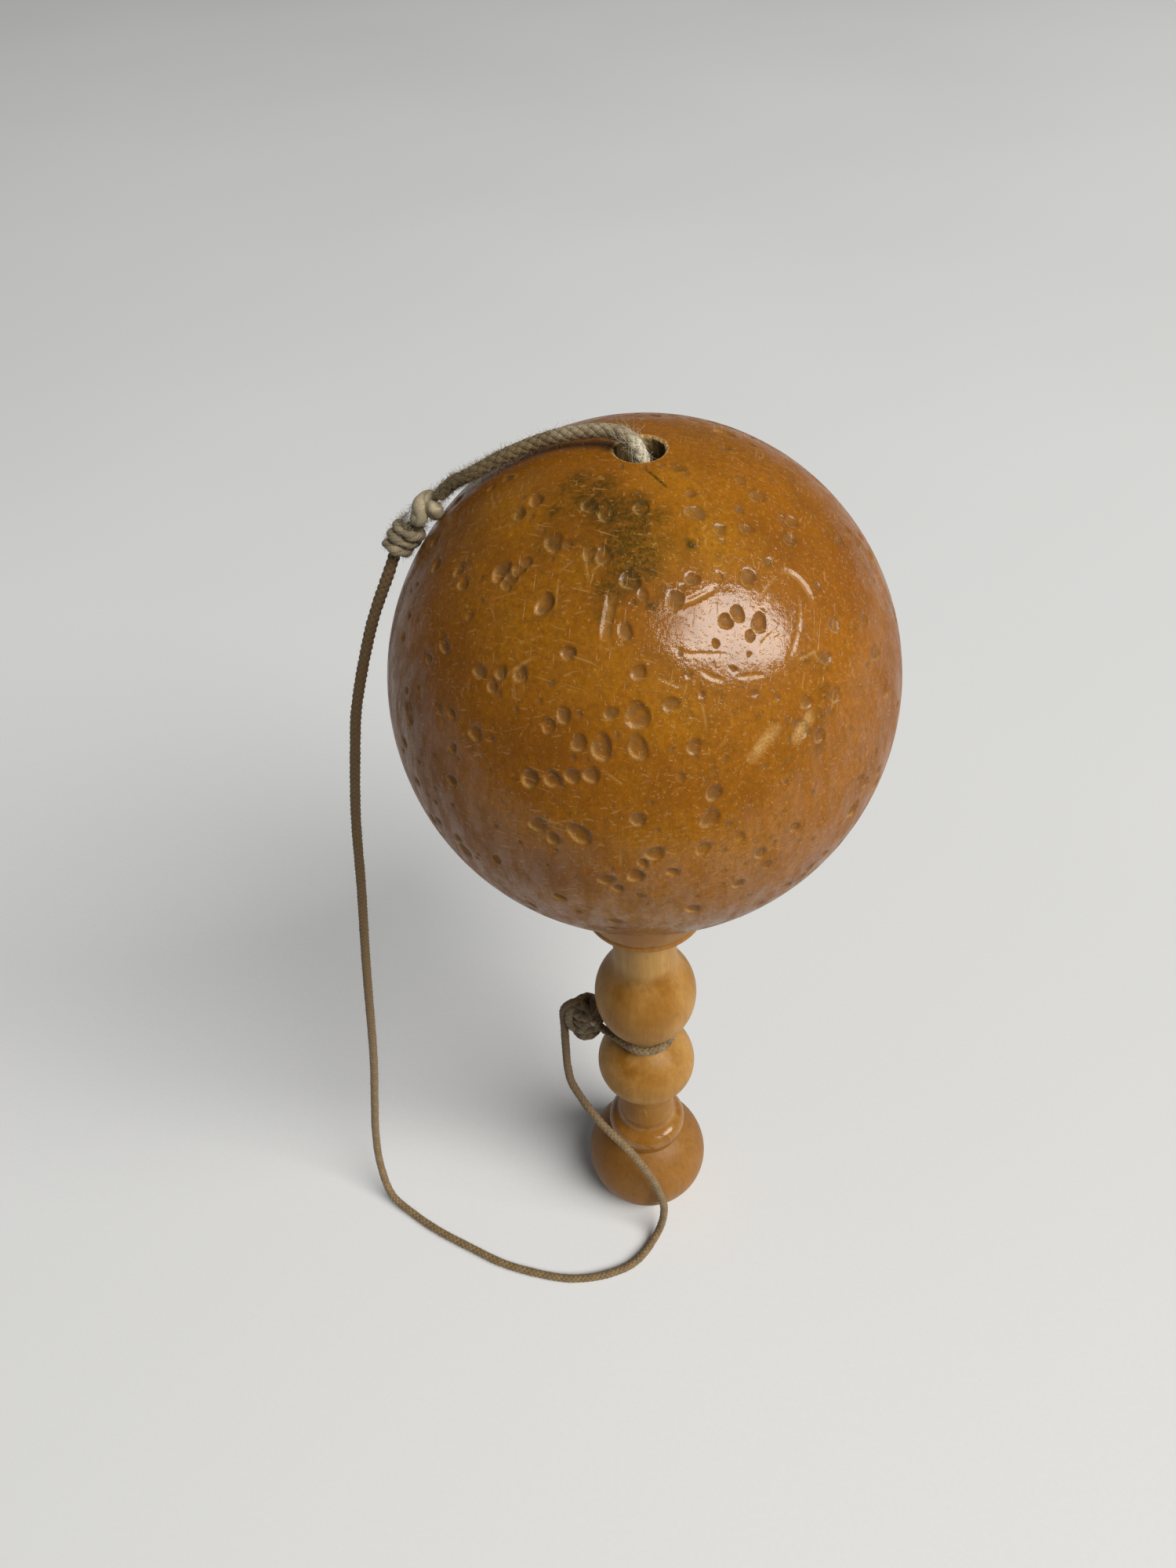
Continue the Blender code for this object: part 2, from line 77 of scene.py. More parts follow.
# Turned pieces, as in the CAD model
FIT_GAP = 0.0003
AXIS_GAP = 0.00005               # how far from the axis the outlines end
FLOOR_GAP = 0.00002              # how far the foot's flat is off the floor
EASE = 0.0002                    # how far sharp edges are eased
WOBBLE = 0.00004                 # how uneven a turned skin is
FOOT_HEIGHT = 0.0224
FOOT_RADIUS = 0.0143
FOOT_MIDDLE = 0.0106
FOOT_TOP_RADIUS = 0.0076
FOOT_FLAT_RADIUS = 0.0083
TENON_RADIUS = 0.0045
TENON_LENGTH = 0.0105
TENON_EASE = 0.0003
GRIP_BASE = 0.0227
COLLAR_BASE_RADIUS = 0.0080
COLLAR_RADIUS = 0.0090
COLLAR_MIDDLE = 0.0269
COLLAR_SHOULDER = 0.0292
COLLAR_SHOULDER_RADIUS = 0.0076
COLLAR_TOP = 0.0340
LOWER_NECK_RADIUS = 0.0064
LOWER_BEAD_BOTTOM = 0.0452
LOWER_BEAD_MIDDLE = 0.0525
LOWER_BEAD_RADIUS = 0.0109
GROOVE_BOTTOM = 0.0616
GROOVE_MIDDLE = 0.06445
GROOVE_TOP = 0.0673
GROOVE_RADIUS = 0.0046
UPPER_BEAD_MIDDLE = 0.0787
UPPER_BEAD_RADIUS = 0.01075
UPPER_BEAD_TOP = 0.0865
UPPER_SHOULDER_RADIUS = 0.0085
COVE_TOP = 0.0940
UPPER_NECK_RADIUS = 0.0065
GRIP_TOP = 0.1076
CUP_BASE = 0.1079
CUP_FLOOR = 0.1159
CUP_FLOOR_RADIUS = 0.0070
CUP_MOUTH = 0.1251
CUP_MOUTH_RADIUS = 0.0135
CUP_RIM_RADIUS = 0.0160
CUP_LIP_RADIUS = 0.0120
CUP_LIP_HEIGHT = 0.0013
CUP_EASE = 0.0003
CUP_FLARE = 0.85                 # power of the curve of the cup's wall
SPIKE_BASE = 0.1162
SPIKE_BASE_RADIUS = 0.00475
SPIKE_TIP = 0.1632
SPIKE_TIP_RADIUS = 0.0014
PIN_RADIUS = 0.0032
PIN_LENGTH = 0.0120
BALL_MIDDLE = 0.1639
BALL_RADIUS = 0.0400
BALL_HALF_HEIGHT = 0.0409
BALL_CENTRE = np.array((0.0, 0.0, BALL_MIDDLE))
BALL_SIZE = np.array((BALL_RADIUS, BALL_RADIUS, BALL_HALF_HEIGHT))
SKIN_INSET = 0.00008             # keeps the raised rims of dents inside the ball's size
CORD_HOLE_RADIUS = 0.00355
BORE_RADIUS = 0.00575
BORE_END = 0.1819
BALL_COLUMNS = 720               # points round the widest rings
FRONT_CROWDING = 0.42            # how much closer together they are at the front

# Cords
BALL_CORD_RADIUS = 0.0012        # with the loose fibres
BALL_BRAID_RADIUS = 0.00101      # without them
FRAY_SWELL = 0.14                # share by which the braid is thicker where it is frayed
PLAY_CORD_RADIUS = 0.00095
STRAND_RADIUS = 0.0008
WHIPPING_RADIUS = 0.0005
TUFT_RADIUS = 0.0018
CUT_END_RADIUS = 0.0007
WINDING_GAP = 0.00055
STOP_KNOT_TURNS = 2.5
WHIPPING_TURNS = 2.5
HANDLE_KNOT_TURNS = 3.5
KNOT_CORE = 0.0010
KNOT_OUT = 0.0134
KNOT_ANGLE = math.radians(167.7)
KNOT_MIDDLE = np.array((KNOT_OUT * math.cos(KNOT_ANGLE), KNOT_OUT * math.sin(KNOT_ANGLE), GROOVE_MIDDLE))
CUT_END_OFFSET = (0.0014, -0.0028, 0.0030)
CUT_END_RUN = (0.0004, -0.0014, 0.0006)
EYE_SPREAD = 0.0012
SPLICE_TOP = (-0.0295, 0.0063, 0.1939)
SPLICE_MIDDLE = (-0.0338, 0.0062, 0.1897)
SPLICE_END = (-0.0365, 0.0055, 0.1860)
BALL_CORD_ROUTE = (
    (0.0, 0.0, 0.1717), (0.0, 0.0, 0.1778), (0.0, 0.0, 0.1838), (0.0002, -0.0005, 0.1895),
    (0.0005, -0.0012, 0.1953), (0.0006, -0.0015, 0.2000), (0.0002, -0.0013, 0.2038),
    (-0.0013, -0.0006, 0.2062), (-0.0040, 0.0007, 0.2068), (-0.0079, 0.0021, 0.2060),
    (-0.0123, 0.0033, 0.2046), (-0.0179, 0.0038, 0.2022), (-0.0239, 0.0046, 0.1986),
    (-0.0271, 0.0060, 0.1963), SPLICE_TOP,
)
PLAY_CORD_ROUTE = (
    SPLICE_MIDDLE, SPLICE_END, (-0.0384, 0.0049, 0.1820), (-0.0427, 0.0040, 0.1723),
    (-0.0473, 0.0030, 0.1581), (-0.0495, 0.0025, 0.1479), (-0.0524, 0.0018, 0.1309),
    (-0.0548, 0.0012, 0.1115), (-0.0581, 0.0005, 0.0869), (-0.0620, -0.0005, 0.0551),
    (-0.0650, -0.0012, 0.0354), (-0.0670, -0.0021, 0.0216), (-0.0674, -0.0046, 0.0102),
    (-0.0649, -0.0093, 0.0030), (-0.0588, -0.0137, 0.0012), (-0.0519, -0.0180, 0.0012),
    (-0.0436, -0.0221, 0.0012), (-0.0355, -0.0258, 0.0012), (-0.0277, -0.0280, 0.0012),
    (-0.0201, -0.0293, 0.0012), (-0.0140, -0.0291, 0.0012), (-0.0087, -0.0279, 0.0012),
    (-0.0043, -0.0260, 0.0012), (-0.0011, -0.0232, 0.0012), (0.0013, -0.0198, 0.0013),
    (0.0031, -0.0174, 0.0036), (0.0039, -0.0163, 0.0082), (0.0037, -0.0160, 0.0138),
    (0.0018, -0.0152, 0.0219), (-0.0012, -0.0144, 0.0293), (-0.0047, -0.0131, 0.0353),
    (-0.0111, -0.0096, 0.0418), (-0.0165, -0.0042, 0.0470), (-0.0178, -0.0016, 0.0506),
    (-0.0181, 0.0006, 0.0548), (-0.0182, 0.0024, 0.0600), (-0.0182, 0.0029, 0.0635),
    (-0.0182, 0.0030, 0.0658), (-0.0177, 0.0030, 0.0680), (-0.0163, 0.0030, 0.0697),
    (-0.0142, 0.0030, 0.0707),
)
BALL_CORD_LENGTH = 0.068

KNOT_LOOP_RISE = 0.0009
KNOT_LOOP_SWAY = 0.0004
# Loops over the handle knot: facing, lean, half width, half height, shift
KNOT_LOOPS = (
    (0.35, 0.25, 0.0036, 0.0050, -0.0004), (1.35, -0.30, 0.0029, 0.0050, 0.0003),
    (2.45, 0.20, 0.0034, 0.0048, -0.0002),
)

# Wear on the ball: pixel column and row in the frame, and radius in pixels
DENTS = (
    (818, 647, 10), (683, 637, 9), (662, 655, 8), (751, 644, 9), (774, 656, 10), (887, 653, 10),
    (918, 675, 8), (952, 674, 7), (966, 632, 9), (943, 649, 6), (998, 662, 7), (1010, 664, 9),
    (1007, 687, 8), (945, 612, 7), (881, 628, 6), (867, 596, 6), (927, 570, 5), (1010, 609, 5),
    (706, 692, 11), (723, 694, 6), (638, 729, 11), (651, 735, 9), (661, 726, 8), (645, 744, 8),
    (670, 717, 7), (694, 770, 11), (598, 785, 6), (590, 744, 9), (585, 726, 8), (804, 740, 12),
    (820, 758, 7), (770, 708, 11), (752, 706, 9), (797, 804, 9), (861, 765, 11), (883, 738, 8),
    (917, 735, 6), (954, 736, 10), (980, 716, 5), (941, 782, 9), (926, 792, 9), (969, 794, 10),
    (958, 811, 7), (913, 821, 5), (974, 777, 3), (1064, 797, 9), (1043, 747, 5), (1103, 790, 6),
    (1054, 840, 8), (1066, 887, 8), (1029, 896, 8), (1118, 833, 9), (1023, 929, 10), (1046, 939, 8),
    (856, 898, 8), (813, 913, 15), (814, 954, 12), (767, 954, 13), (738, 948, 10), (699, 926, 9),
    (718, 912, 9), (611, 856, 9), (627, 874, 8), (638, 858, 8), (663, 860, 10), (724, 833, 9),
    (815, 858, 9), (675, 993, 12), (704, 994, 10), (729, 990, 10), (754, 989, 10), (910, 1012, 10),
    (906, 1045, 11), (685, 1052, 11), (738, 1064, 13), (705, 1070, 9), (835, 1090, 10), (820, 1102, 7),
    (811, 1118, 11), (897, 1083, 9), (813, 1046, 9), (1014, 1056, 7), (971, 1089, 8), (944, 1068, 7),
    (978, 1104, 6), (858, 1113, 7), (942, 1128, 8), (773, 1123, 9), (788, 1134, 7), (815, 1143, 5),
    (713, 1145, 8), (595, 1089, 8), (632, 1098, 9), (605, 935, 10), (577, 955, 7), (575, 910, 7),
    (559, 903, 6), (546, 840, 7), (514, 812, 6), (566, 824, 8), (518, 901, 6), (575, 996, 9),
    (1053, 1089, 6), (1105, 998, 7), (885, 953, 9), (867, 991, 6), (779, 910, 8),
)
# Half width and depth in metres, how bare the wood is, then the pixels that the gouge runs through
GOUGES = (
    (0.00080, 0.00021, 0.3, ((782, 754), (777, 781), (773, 803), (774, 824))),
    (0.00050, 0.00021, 0.5, ((869, 772), (892, 761), (912, 750))),
    (0.00056, 0.00018, 0.5, ((992, 729), (1007, 730), (1023, 742), (1033, 758), (1037, 774))),
    (0.00027, 0.00008, 0.6, ((1017, 758), (1021, 776), (1020, 794), (1014, 821), (1003, 845))),
    (0.00027, 0.00008, 0.6, ((992, 733), (980, 747), (971, 763), (967, 774))),
    (0.00024, 0.00008, 0.7, ((964, 837), (976, 817), (987, 806), (1001, 797))),
    (0.00022, 0.00008, 0.7, ((977, 810), (987, 813), (1001, 812))),
    (0.00029, 0.00008, 0.5, ((858, 824), (878, 834), (897, 834), (915, 834), (933, 836))),
    (0.00032, 0.00008, 0.5, ((894, 855), (908, 864), (926, 869))),
    (0.00027, 0.00007, 0.4, ((937, 864), (960, 862), (976, 860))),
    (0.00024, 0.00007, 0.4, ((835, 861), (856, 872), (878, 877))),
    (0.00027, 0.00008, 0.8, ((645, 862), (663, 849), (686, 836))),
    (0.00022, 0.00006, 0.6, ((747, 701), (748, 717), (752, 747))),
    (0.00022, 0.00006, 0.6, ((752, 731), (777, 711))),
    (0.00021, 0.00006, 0.5, ((711, 731), (734, 713))),
    (0.00021, 0.00006, 0.5, ((713, 735), (709, 781))),
    (0.00019, 0.00005, 0.5, ((894, 885), (903, 939))),
    (0.00019, 0.00005, 0.5, ((917, 953), (928, 944))),
    (0.00021, 0.00006, 0.6, ((770, 985), (781, 991), (797, 1003))),
    (0.00024, 0.00007, 0.5, ((627, 625), (629, 640), (636, 649))),
    (0.00019, 0.00005, 0.5, ((600, 862), (595, 889))),
    (0.00019, 0.00005, 0.5, ((625, 767), (632, 794))),
    (0.00026, 0.00011, 0.2, ((1053, 987), (1044, 1007), (1037, 1041))),
    (0.00019, 0.00005, 0.4, ((792, 1080), (792, 1111))),
    (0.00019, 0.00005, 0.4, ((752, 1089), (770, 1073))),
    (0.00019, 0.00005, 0.5, ((654, 864), (659, 903))),
    (0.00092, 0.00016, 1.0, ((961, 966), (974, 948), (990, 930))),
    (0.00100, 0.00018, 1.0, ((1033, 915), (1026, 928), (1018, 941))),
    (0.00024, 0.00007, 0.8, ((1017, 842), (1030, 836), (1044, 828))),
    (0.00021, 0.00006, 0.7, ((1036, 826), (1042, 838), (1049, 847))),
    (0.00021, 0.00021, 0.0, ((825, 599), (837, 609), (849, 620))),
)
# Dark mottled stain: pixel column and row, radius in pixels, strength
STAIN = (
    (1050, 850, 16, 0.40), (1052, 882, 16, 0.48), (1048, 915, 16, 0.48), (1046, 955, 14, 0.40),
    (724, 622, 24, 0.6), (708, 652, 16, 0.7), (660, 654, 12, 0.5), (700, 692, 16, 0.5),
    (770, 618, 24, 0.7), (690, 700, 22, 0.4), (664, 690, 18, 0.3), (836, 660, 22, 0.6), (846, 690, 18, 0.5),
    (738, 612, 22, 0.7), (752, 634, 30, 0.8), (778, 652, 34, 0.9), (808, 664, 30, 0.9), (802, 690, 36, 1.0),
    (812, 712, 34, 1.0), (796, 732, 30, 0.8), (778, 752, 26, 0.7), (768, 784, 18, 0.5), (834, 730, 13, 0.7),
    (832, 772, 10, 0.7), (881, 694, 10, 0.8), (742, 690, 22, 0.4), (716, 672, 18, 0.3), (864, 596, 9, 0.5),
    (740, 630, 60, 0.46), (790, 690, 74, 0.44), (700, 668, 44, 0.26), (855, 690, 40, 0.32),
    (775, 770, 40, 0.30), (812, 640, 20, 0.7), (700, 650, 16, 0.3), (848, 755, 16, 0.4),
    (920, 710, 12, 0.3), (1040, 930, 14, 0.3), (1030, 840, 8, 0.6), (966, 915, 9, 0.4),
    (890, 550, 44, 0.26), (940, 568, 44, 0.26), (985, 590, 40, 0.14), (905, 590, 36, 0.18),
)
# Golden patches of varnish: pixel column and row, radius in pixels, strength
GOLD = (
    (640, 660, 70, 0.8), (690, 780, 80, 0.8), (840, 690, 60, 0.9), (900, 690, 60, 0.9), (860, 620, 40, 0.7),
    (760, 860, 70, 0.6), (860, 900, 70, 0.6), (960, 700, 40, 0.6), (1000, 900, 60, 0.4), (840, 1000, 50, 0.3),
    (820, 1095, 70, 0.6), (720, 1080, 60, 0.5), (940, 1085, 60, 0.5), (700, 740, 60, 0.9),
    (820, 1170, 80, 1.0), (720, 1150, 50, 0.7), (930, 1150, 50, 0.7),
)
# Where the varnish still has all of its gloss: pixel column and row, radius in pixels, strength
GLOSS = ((900, 800, 90, 1.0), (970, 790, 90, 1.0), (930, 850, 60, 0.8), (1000, 740, 60, 0.8))
# Patches where the varnish has lost its shine: pixel column and row, radius in pixels, strength
DULL = (
    (860, 795, 26, 1.0), (880, 772, 20, 0.8), (1000, 740, 14, 0.4), (905, 850, 14, 0.4), (960, 860, 16, 0.4),
    (878, 800, 20, 0.6), (1000, 780, 22, 0.6), (1135, 850, 60, 0.7), (1140, 930, 60, 0.7),
    (1115, 1000, 50, 0.5), (1075, 880, 60, 0.7), (1095, 800, 50, 0.7), (1010, 825, 12, 0.5),
)
# Each dent's rim is painted pale on the side that lies this way from its middle: a painted highlight, where
# the wall of a dent would face the light
PAINTED_HIGHLIGHT_WAY = np.array((-0.55, -0.10, -0.80))
LISTED_DENT_SCALE = 1.12
UNSEEN_DENTS = 460
UNSEEN_DENT_RADII = (0.0005, 0.0008, 0.0011, 0.0014)
UNSEEN_DENT_SHARES = (0.3, 0.35, 0.25, 0.1)
LISTED_VIEW = 0.40               # where the ball faces the camera more than this, its dents are listed
EXTRA_DENT_RADIUS = 0.00042      # largest unlisted dent there
UNSEEN_SCRATCHES = 90
SCRATCH_VIEW = 0.12              # unlisted scratches are where the ball faces the camera less than this


# Vectors, pixels and lines
def unit(vector):
    return vector / np.linalg.norm(vector)


def smooth_step(low, high, value):
    share = np.clip((value - low) / (high - low), 0, 1)
    return share * share * (3 - 2 * share)


def bell(value, middle, width):
    return np.exp(-((value - middle) / width) ** 2)


def random_phase():
    return rng.uniform(0, 6.28)


def pixel_ray(column, row):
    """Unit direction from the camera through a pixel."""
    ray = CAMERA_FORWARD + CAMERA_RIGHT * (column - FRAME_WIDTH / 2) / FOCAL_PIXELS
    return unit(ray - CAMERA_UP * (row - FRAME_HEIGHT / 2) / FOCAL_PIXELS)


def on_ball(column, row):
    """The point of the ball that shows at a pixel, and its distance from the camera."""
    origin = (CAMERA_PLACE - BALL_CENTRE) / BALL_SIZE
    ray = pixel_ray(column, row)
    ahead = ray / BALL_SIZE
    square = ahead @ ahead
    half = origin @ ahead
    rest = max(half * half - square * (origin @ origin - 1), 0.0)
    distance = (-half - math.sqrt(rest)) / square
    return CAMERA_PLACE + ray * distance, distance


def lengths_along(line):
    """How far along a line each of its points is."""
    steps = np.linalg.norm(np.diff(line, axis=0), axis=1)
    return np.concatenate([[0.0], np.cumsum(steps)])


def even_line(points, spacing):
    """The same line with points evenly apart."""
    along = lengths_along(points)
    count = max(round(along[-1] / spacing), 4) + 1
    even = np.linspace(0.0, along[-1], count)
    return np.column_stack([np.interp(even, along, points[:, axis]) for axis in range(3)])


def smooth_line(route, spacing):
    """Even points on a smooth curve through a route's points."""
    knots = np.array(route, float)
    padded = np.vstack([2 * knots[0] - knots[1], knots, 2 * knots[-1] - knots[-2]])
    fine = []
    for before, start, end, after in zip(padded, padded[1:], padded[2:], padded[3:]):
        for t in np.linspace(0, 1, 24, endpoint=False):
            bend = (2 * before - 5 * start + 4 * end - after) * t ** 2
            twist = (3 * start - before - 3 * end + after) * t ** 3
            fine.append(start + ((end - before) * t + bend + twist) / 2)
    fine.append(knots[-1])
    return even_line(np.array(fine), spacing)


def winding(middle, axis, ring, radius, turns):
    """Turns of a cord round an axis, whose ends run out straight for a cord's width."""
    pitch = 2 * radius + WINDING_GAP
    angles = math.pi + np.linspace(0.0, turns * 2 * math.pi, round(turns * 72) + 1)
    rise = pitch * (angles - angles.mean()) / (2 * math.pi)
    helix = np.column_stack([ring * np.cos(angles), ring * np.sin(angles), rise])
    first = unit(helix[0] - helix[1]) * 2 * radius
    last = unit(helix[-1] - helix[-2]) * 2 * radius
    line = np.vstack([helix[0] + first, helix, helix[-1] + last])
    turn = Vector((0, 0, 1)).rotation_difference(Vector(axis)).to_matrix()
    return line @ np.array(turn).T + np.array(middle)


# Meshes
def add_piece(name, points, faces, material, attributes=None):
    """A smooth mesh object, with values at its points for the material to read."""
    mesh = bpy.data.meshes.new(name)
    mesh.from_pydata(np.asarray(points, float).tolist(), [], faces)
    mesh.materials.append(material)
    for key, values in (attributes or {}).items():
        layer = mesh.attributes.new(key, "FLOAT", "POINT")
        layer.data.foreach_set("value", np.asarray(values, np.float32))
    mesh.update()
    mesh.shade_smooth()
    piece = bpy.data.objects.new(name, mesh)
    bpy.context.collection.objects.link(piece)
    return piece


def ring_faces(counts, closed=False):
    """Faces between rings of points that follow one another, where a ring's count may halve or double."""
    starts = np.concatenate([[0], np.cumsum(counts)])
    pairs = list(zip(range(len(counts) - 1), range(1, len(counts))))
    if closed:
        pairs.append((len(counts) - 1, 0))
    faces = []
    for upper, lower in pairs:
        a, b = int(starts[upper]), int(starts[lower])
        n, m = counts[upper], counts[lower]
        if n == m:
            here = np.arange(n)
            ahead = (here + 1) % n
            faces += np.column_stack([a + here, b + here, b + ahead, a + ahead]).tolist()
            continue
        many, few, count = (a, b, m) if n > m else (b, a, n)
        for k in range(count):
            first, second, third = many + 2 * k, many + 2 * k + 1, many + (2 * k + 2) % (2 * count)
            here, ahead = few + k, few + (k + 1) % count
            fan = [(first, here, second), (second, here, ahead), (second, ahead, third)]
            faces += fan if n > m else [corners[::-1] for corners in fan]
    return faces


def oval(widest, end, steps):
    """Points of an oval arc from its widest (radius, height) point to an end nearer the axis."""
    reach = math.acos(end[0] / widest[0])
    half_height = (end[1] - widest[1]) / math.sin(reach)
    angles = np.linspace(0.0, reach, steps + 1)
    return [(widest[0] * math.cos(a), widest[1] + half_height * math.sin(a)) for a in angles]


def cove(arc, end, steps):
    """Points of a hollow curve that goes on from an arc and reaches end running straight up."""
    start = np.array(arc[-1])
    slope = unit(start - np.array(arc[-2]))
    pull = (end[1] - start[1]) / 2
    handles = np.array([start, start + slope * pull, (end[0], end[1] - pull), end])
    curve = []
    for t in np.linspace(0, 1, steps + 1)[1:]:
        weights = np.array(((1 - t) ** 3, 3 * t * (1 - t) ** 2, 3 * t * t * (1 - t), t ** 3))
        curve.append(tuple(weights @ handles))
    return curve


def bands(points, rows):
    """Soft bands and patches on a turned piece: each has a middle height, a half height, a strength,
    and where it is a patch, its angle from the front and half its width as an angle."""
    value = np.zeros(len(points))
    turn = np.arctan2(points[:, 0], -points[:, 1])
    for middle, half, strength, *patch in rows:
        share = np.exp(-((points[:, 2] - middle) / half) ** 4)
        if patch:
            share = share * np.exp(-((turn - patch[0]) / patch[1]) ** 4)
        value = np.maximum(value, strength * share)
    return value


def turned_piece(name, outline, columns, material, knocks, amber, polish=(), closed=False):
    """A lathe-turned piece from an outline of (radius, height) points, with an uneven, knocked skin."""
    outline = np.array(outline)
    angles = np.arange(columns) * 2 * math.pi / columns
    radius = np.repeat(outline[:, :1], columns, axis=1)
    height = np.repeat(outline[:, 1:], columns, axis=1)
    for turns in (1, 2, 3, 5):
        phase = rng.uniform(0, 2 * math.pi)
        drift = rng.uniform(200, 500)
        radius = radius - WOBBLE / turns * (1 + np.cos(turns * angles + phase + drift * height)) / 2
    radius = np.maximum(radius, 0.0)
    across, deep = radius * np.cos(angles), radius * np.sin(angles)
    points = np.column_stack([across.ravel(), deep.ravel(), height.ravel()])
    out = points * (1, 1, 0)
    out /= np.maximum(np.linalg.norm(out, axis=1), 1e-9)[:, None]
    wear = np.zeros(len(points))
    hidden = 0.55 * outline[:, 0].max()
    for _ in range(knocks):
        target = points[rng.integers(len(points))]
        if np.hypot(target[0], target[1]) < hidden:
            continue
        size = rng.uniform(0.0004, 0.0011)
        share = np.linalg.norm(points - target, axis=1) / size
        bowl = np.clip(1 - share ** 2, 0, 1) ** 2
        points = points - out * (bowl * size * rng.uniform(0.06, 0.16))[:, None]
        wear = np.maximum(wear, bowl)
    faces = ring_faces([columns] * len(outline), closed)
    values = {"dent": wear, "amber": bands(points, amber), "polish": bands(points, polish)}
    return add_piece(name, points, faces, material, values)


# Cord meshes
def carried_sides(line):
    """The way ahead and two sideways directions at each point of a line, carried along without twisting."""
    heading = np.gradient(line, axis=0)
    heading /= np.linalg.norm(heading, axis=1)[:, None]
    side = unit(np.cross(heading[0], (0.31, 0.87, 0.38)))
    first = np.empty_like(line)
    for index, ahead in enumerate(heading):
        side = unit(side - ahead * (side @ ahead))
        first[index] = side
    return heading, first, np.cross(heading, first)


def braid(strands, pitch, low=0.74):
    """Relief of a round braid whose strands pass over and under each other."""
    tones = rng.uniform(0, 1, 2 * strands)

    def relief(along, angle):
        turn = angle / (2 * math.pi)
        right = strands * (turn + along / pitch)
        left = strands * (turn - along / pitch)
        cell = np.floor(right) + np.floor(left)
        over = np.where(cell % 2 == 0, 1.0, -1.0)
        across_right = right - np.floor(right) - 0.5
        across_left = left - np.floor(left) - 0.5
        high_right = 0.6 * np.sqrt(1 - (across_right / 0.58) ** 2)
        high_right = high_right + 0.4 * over * np.cos(math.pi * across_left)
        high_left = 0.6 * np.sqrt(1 - (across_left / 0.58) ** 2)
        high_left = high_left - 0.4 * over * np.cos(math.pi * across_right)
        upper = high_right > high_left
        across = np.where(upper, across_right, across_left)
        height = np.maximum(high_right, high_left) + 0.06 * np.cos(6 * math.pi * across)
        height = np.clip(height, 0, 1)
        strand = np.where(upper, np.floor(right) % strands, strands + np.floor(left) % strands)
        return low + (1 - low) * height, height, tones[strand.astype(int)]

    return relief


def yarn(plies, pitch, low=0.8):
    """Relief of plies twisted together."""
    tones = rng.uniform(0, 1, plies)

    def relief(along, angle):
        turn = plies * (angle / (2 * math.pi) + along / pitch)
        across = turn - np.floor(turn) - 0.5
        height = np.sqrt(1 - (across / 0.53) ** 2) + 0.05 * np.cos(8 * math.pi * across)
        height = np.clip(height, 0, 1)
        return low + (1 - low) * height, height, tones[np.floor(turn).astype(int) % plies]

    return relief


def cord_piece(name, line, radius, columns, relief, material, uneven=0.04, swell=0.0):
    """A cord with closed, rounded ends along evenly spaced points, and its raised strands.
    It is thicker by the share swell, which may differ along the line."""
    along = lengths_along(line)
    angle = np.arange(columns) * 2 * math.pi / columns
    share, crown, tone = relief(along[:, None] + 0 * angle, angle + 0 * along[:, None])
    thick = np.ones(len(line)) + swell
    for wave in (0.0021, 0.0047, 0.0093):
        thick += uneven / 3 * np.sin(along / wave * 2 * math.pi + random_phase())
    to_end = np.minimum(along, along[-1] - along)
    rounding = np.sqrt(1 - (1 - np.clip(to_end / (0.9 * radius), 0.02, 1)) ** 2)
    size = radius * share * (thick * rounding)[:, None]
    _, first, second = carried_sides(line)
    points = line[:, None, :] + size[..., None] * (
        first[:, None, :] * np.cos(angle)[None, :, None] + second[:, None, :] * np.sin(angle)[None, :, None])
    faces = ring_faces([columns] * len(line))
    body = points.reshape(-1, 3)
    last = len(body)
    for column in range(columns):
        ahead = (column + 1) % columns
        faces.append((column, ahead, last))
        faces.append((last - columns + ahead, last - columns + column, last + 1))
    values = {
        "crown": np.append(crown.ravel(), (1, 1)),
        "tone": np.append(tone.ravel(), (0.5, 0.5)),
        "along": np.append(np.repeat(along, columns), (0, along[-1])),
    }
    return add_piece(name, np.vstack([body, line[0], line[-1]]), faces, material, values)


def fibre_piece(name, line, radius, count, lengths, spread, material, chance=None, thickness=0.000022):
    """Loose fibres that stand off a cord: thin bent hairs with roots on its skin."""
    joints, sides = 5, 3
    heading, first, second = carried_sides(line)
    weights = np.ones(len(line)) if chance is None else np.asarray(chance, float)
    picks = rng.choice(len(line), count, p=weights / weights.sum())
    points, faces = [], []
    corners = np.arange(sides) * 2 * math.pi / sides
    for pick in picks:
        angle = rng.uniform(0, 2 * math.pi)
        out = first[pick] * math.cos(angle) + second[pick] * math.sin(angle)
        lean = heading[pick] * rng.choice((-1, 1)) * rng.uniform(0.3, 1.2)
        way = unit(out * rng.uniform(0.25, 1.0) * spread + lean + rng.normal(0, 0.25, 3))
        curl = rng.normal(0, 0.55, 3)
        length = rng.uniform(*lengths)
        root = line[pick] + out * radius * 0.86
        side = unit(np.cross(way, (0.23, 0.51, 0.83)))
        other = np.cross(way, side)
        start = len(points)
        for t in np.linspace(0, 1, joints):
            centre = root + (way * t + curl * t * t * 0.5) * length
            centre[2] = max(centre[2], 2 * thickness)
            size = thickness * (1 - 0.6 * t)
            for corner in corners:
                points.append(centre + (side * math.cos(corner) + other * math.sin(corner)) * size)
        end = len(points) - sides
        for a in range(start, end, sides):
            for k in range(sides):
                ahead = (k + 1) % sides
                faces.append((a + k, a + ahead, a + sides + ahead, a + sides + k))
        faces.append((start + 2, start + 1, start))
        faces.append((end, end + 1, end + 2))
    return add_piece(name, points, faces, material, {"tone": rng.uniform(0, 1, len(points))})


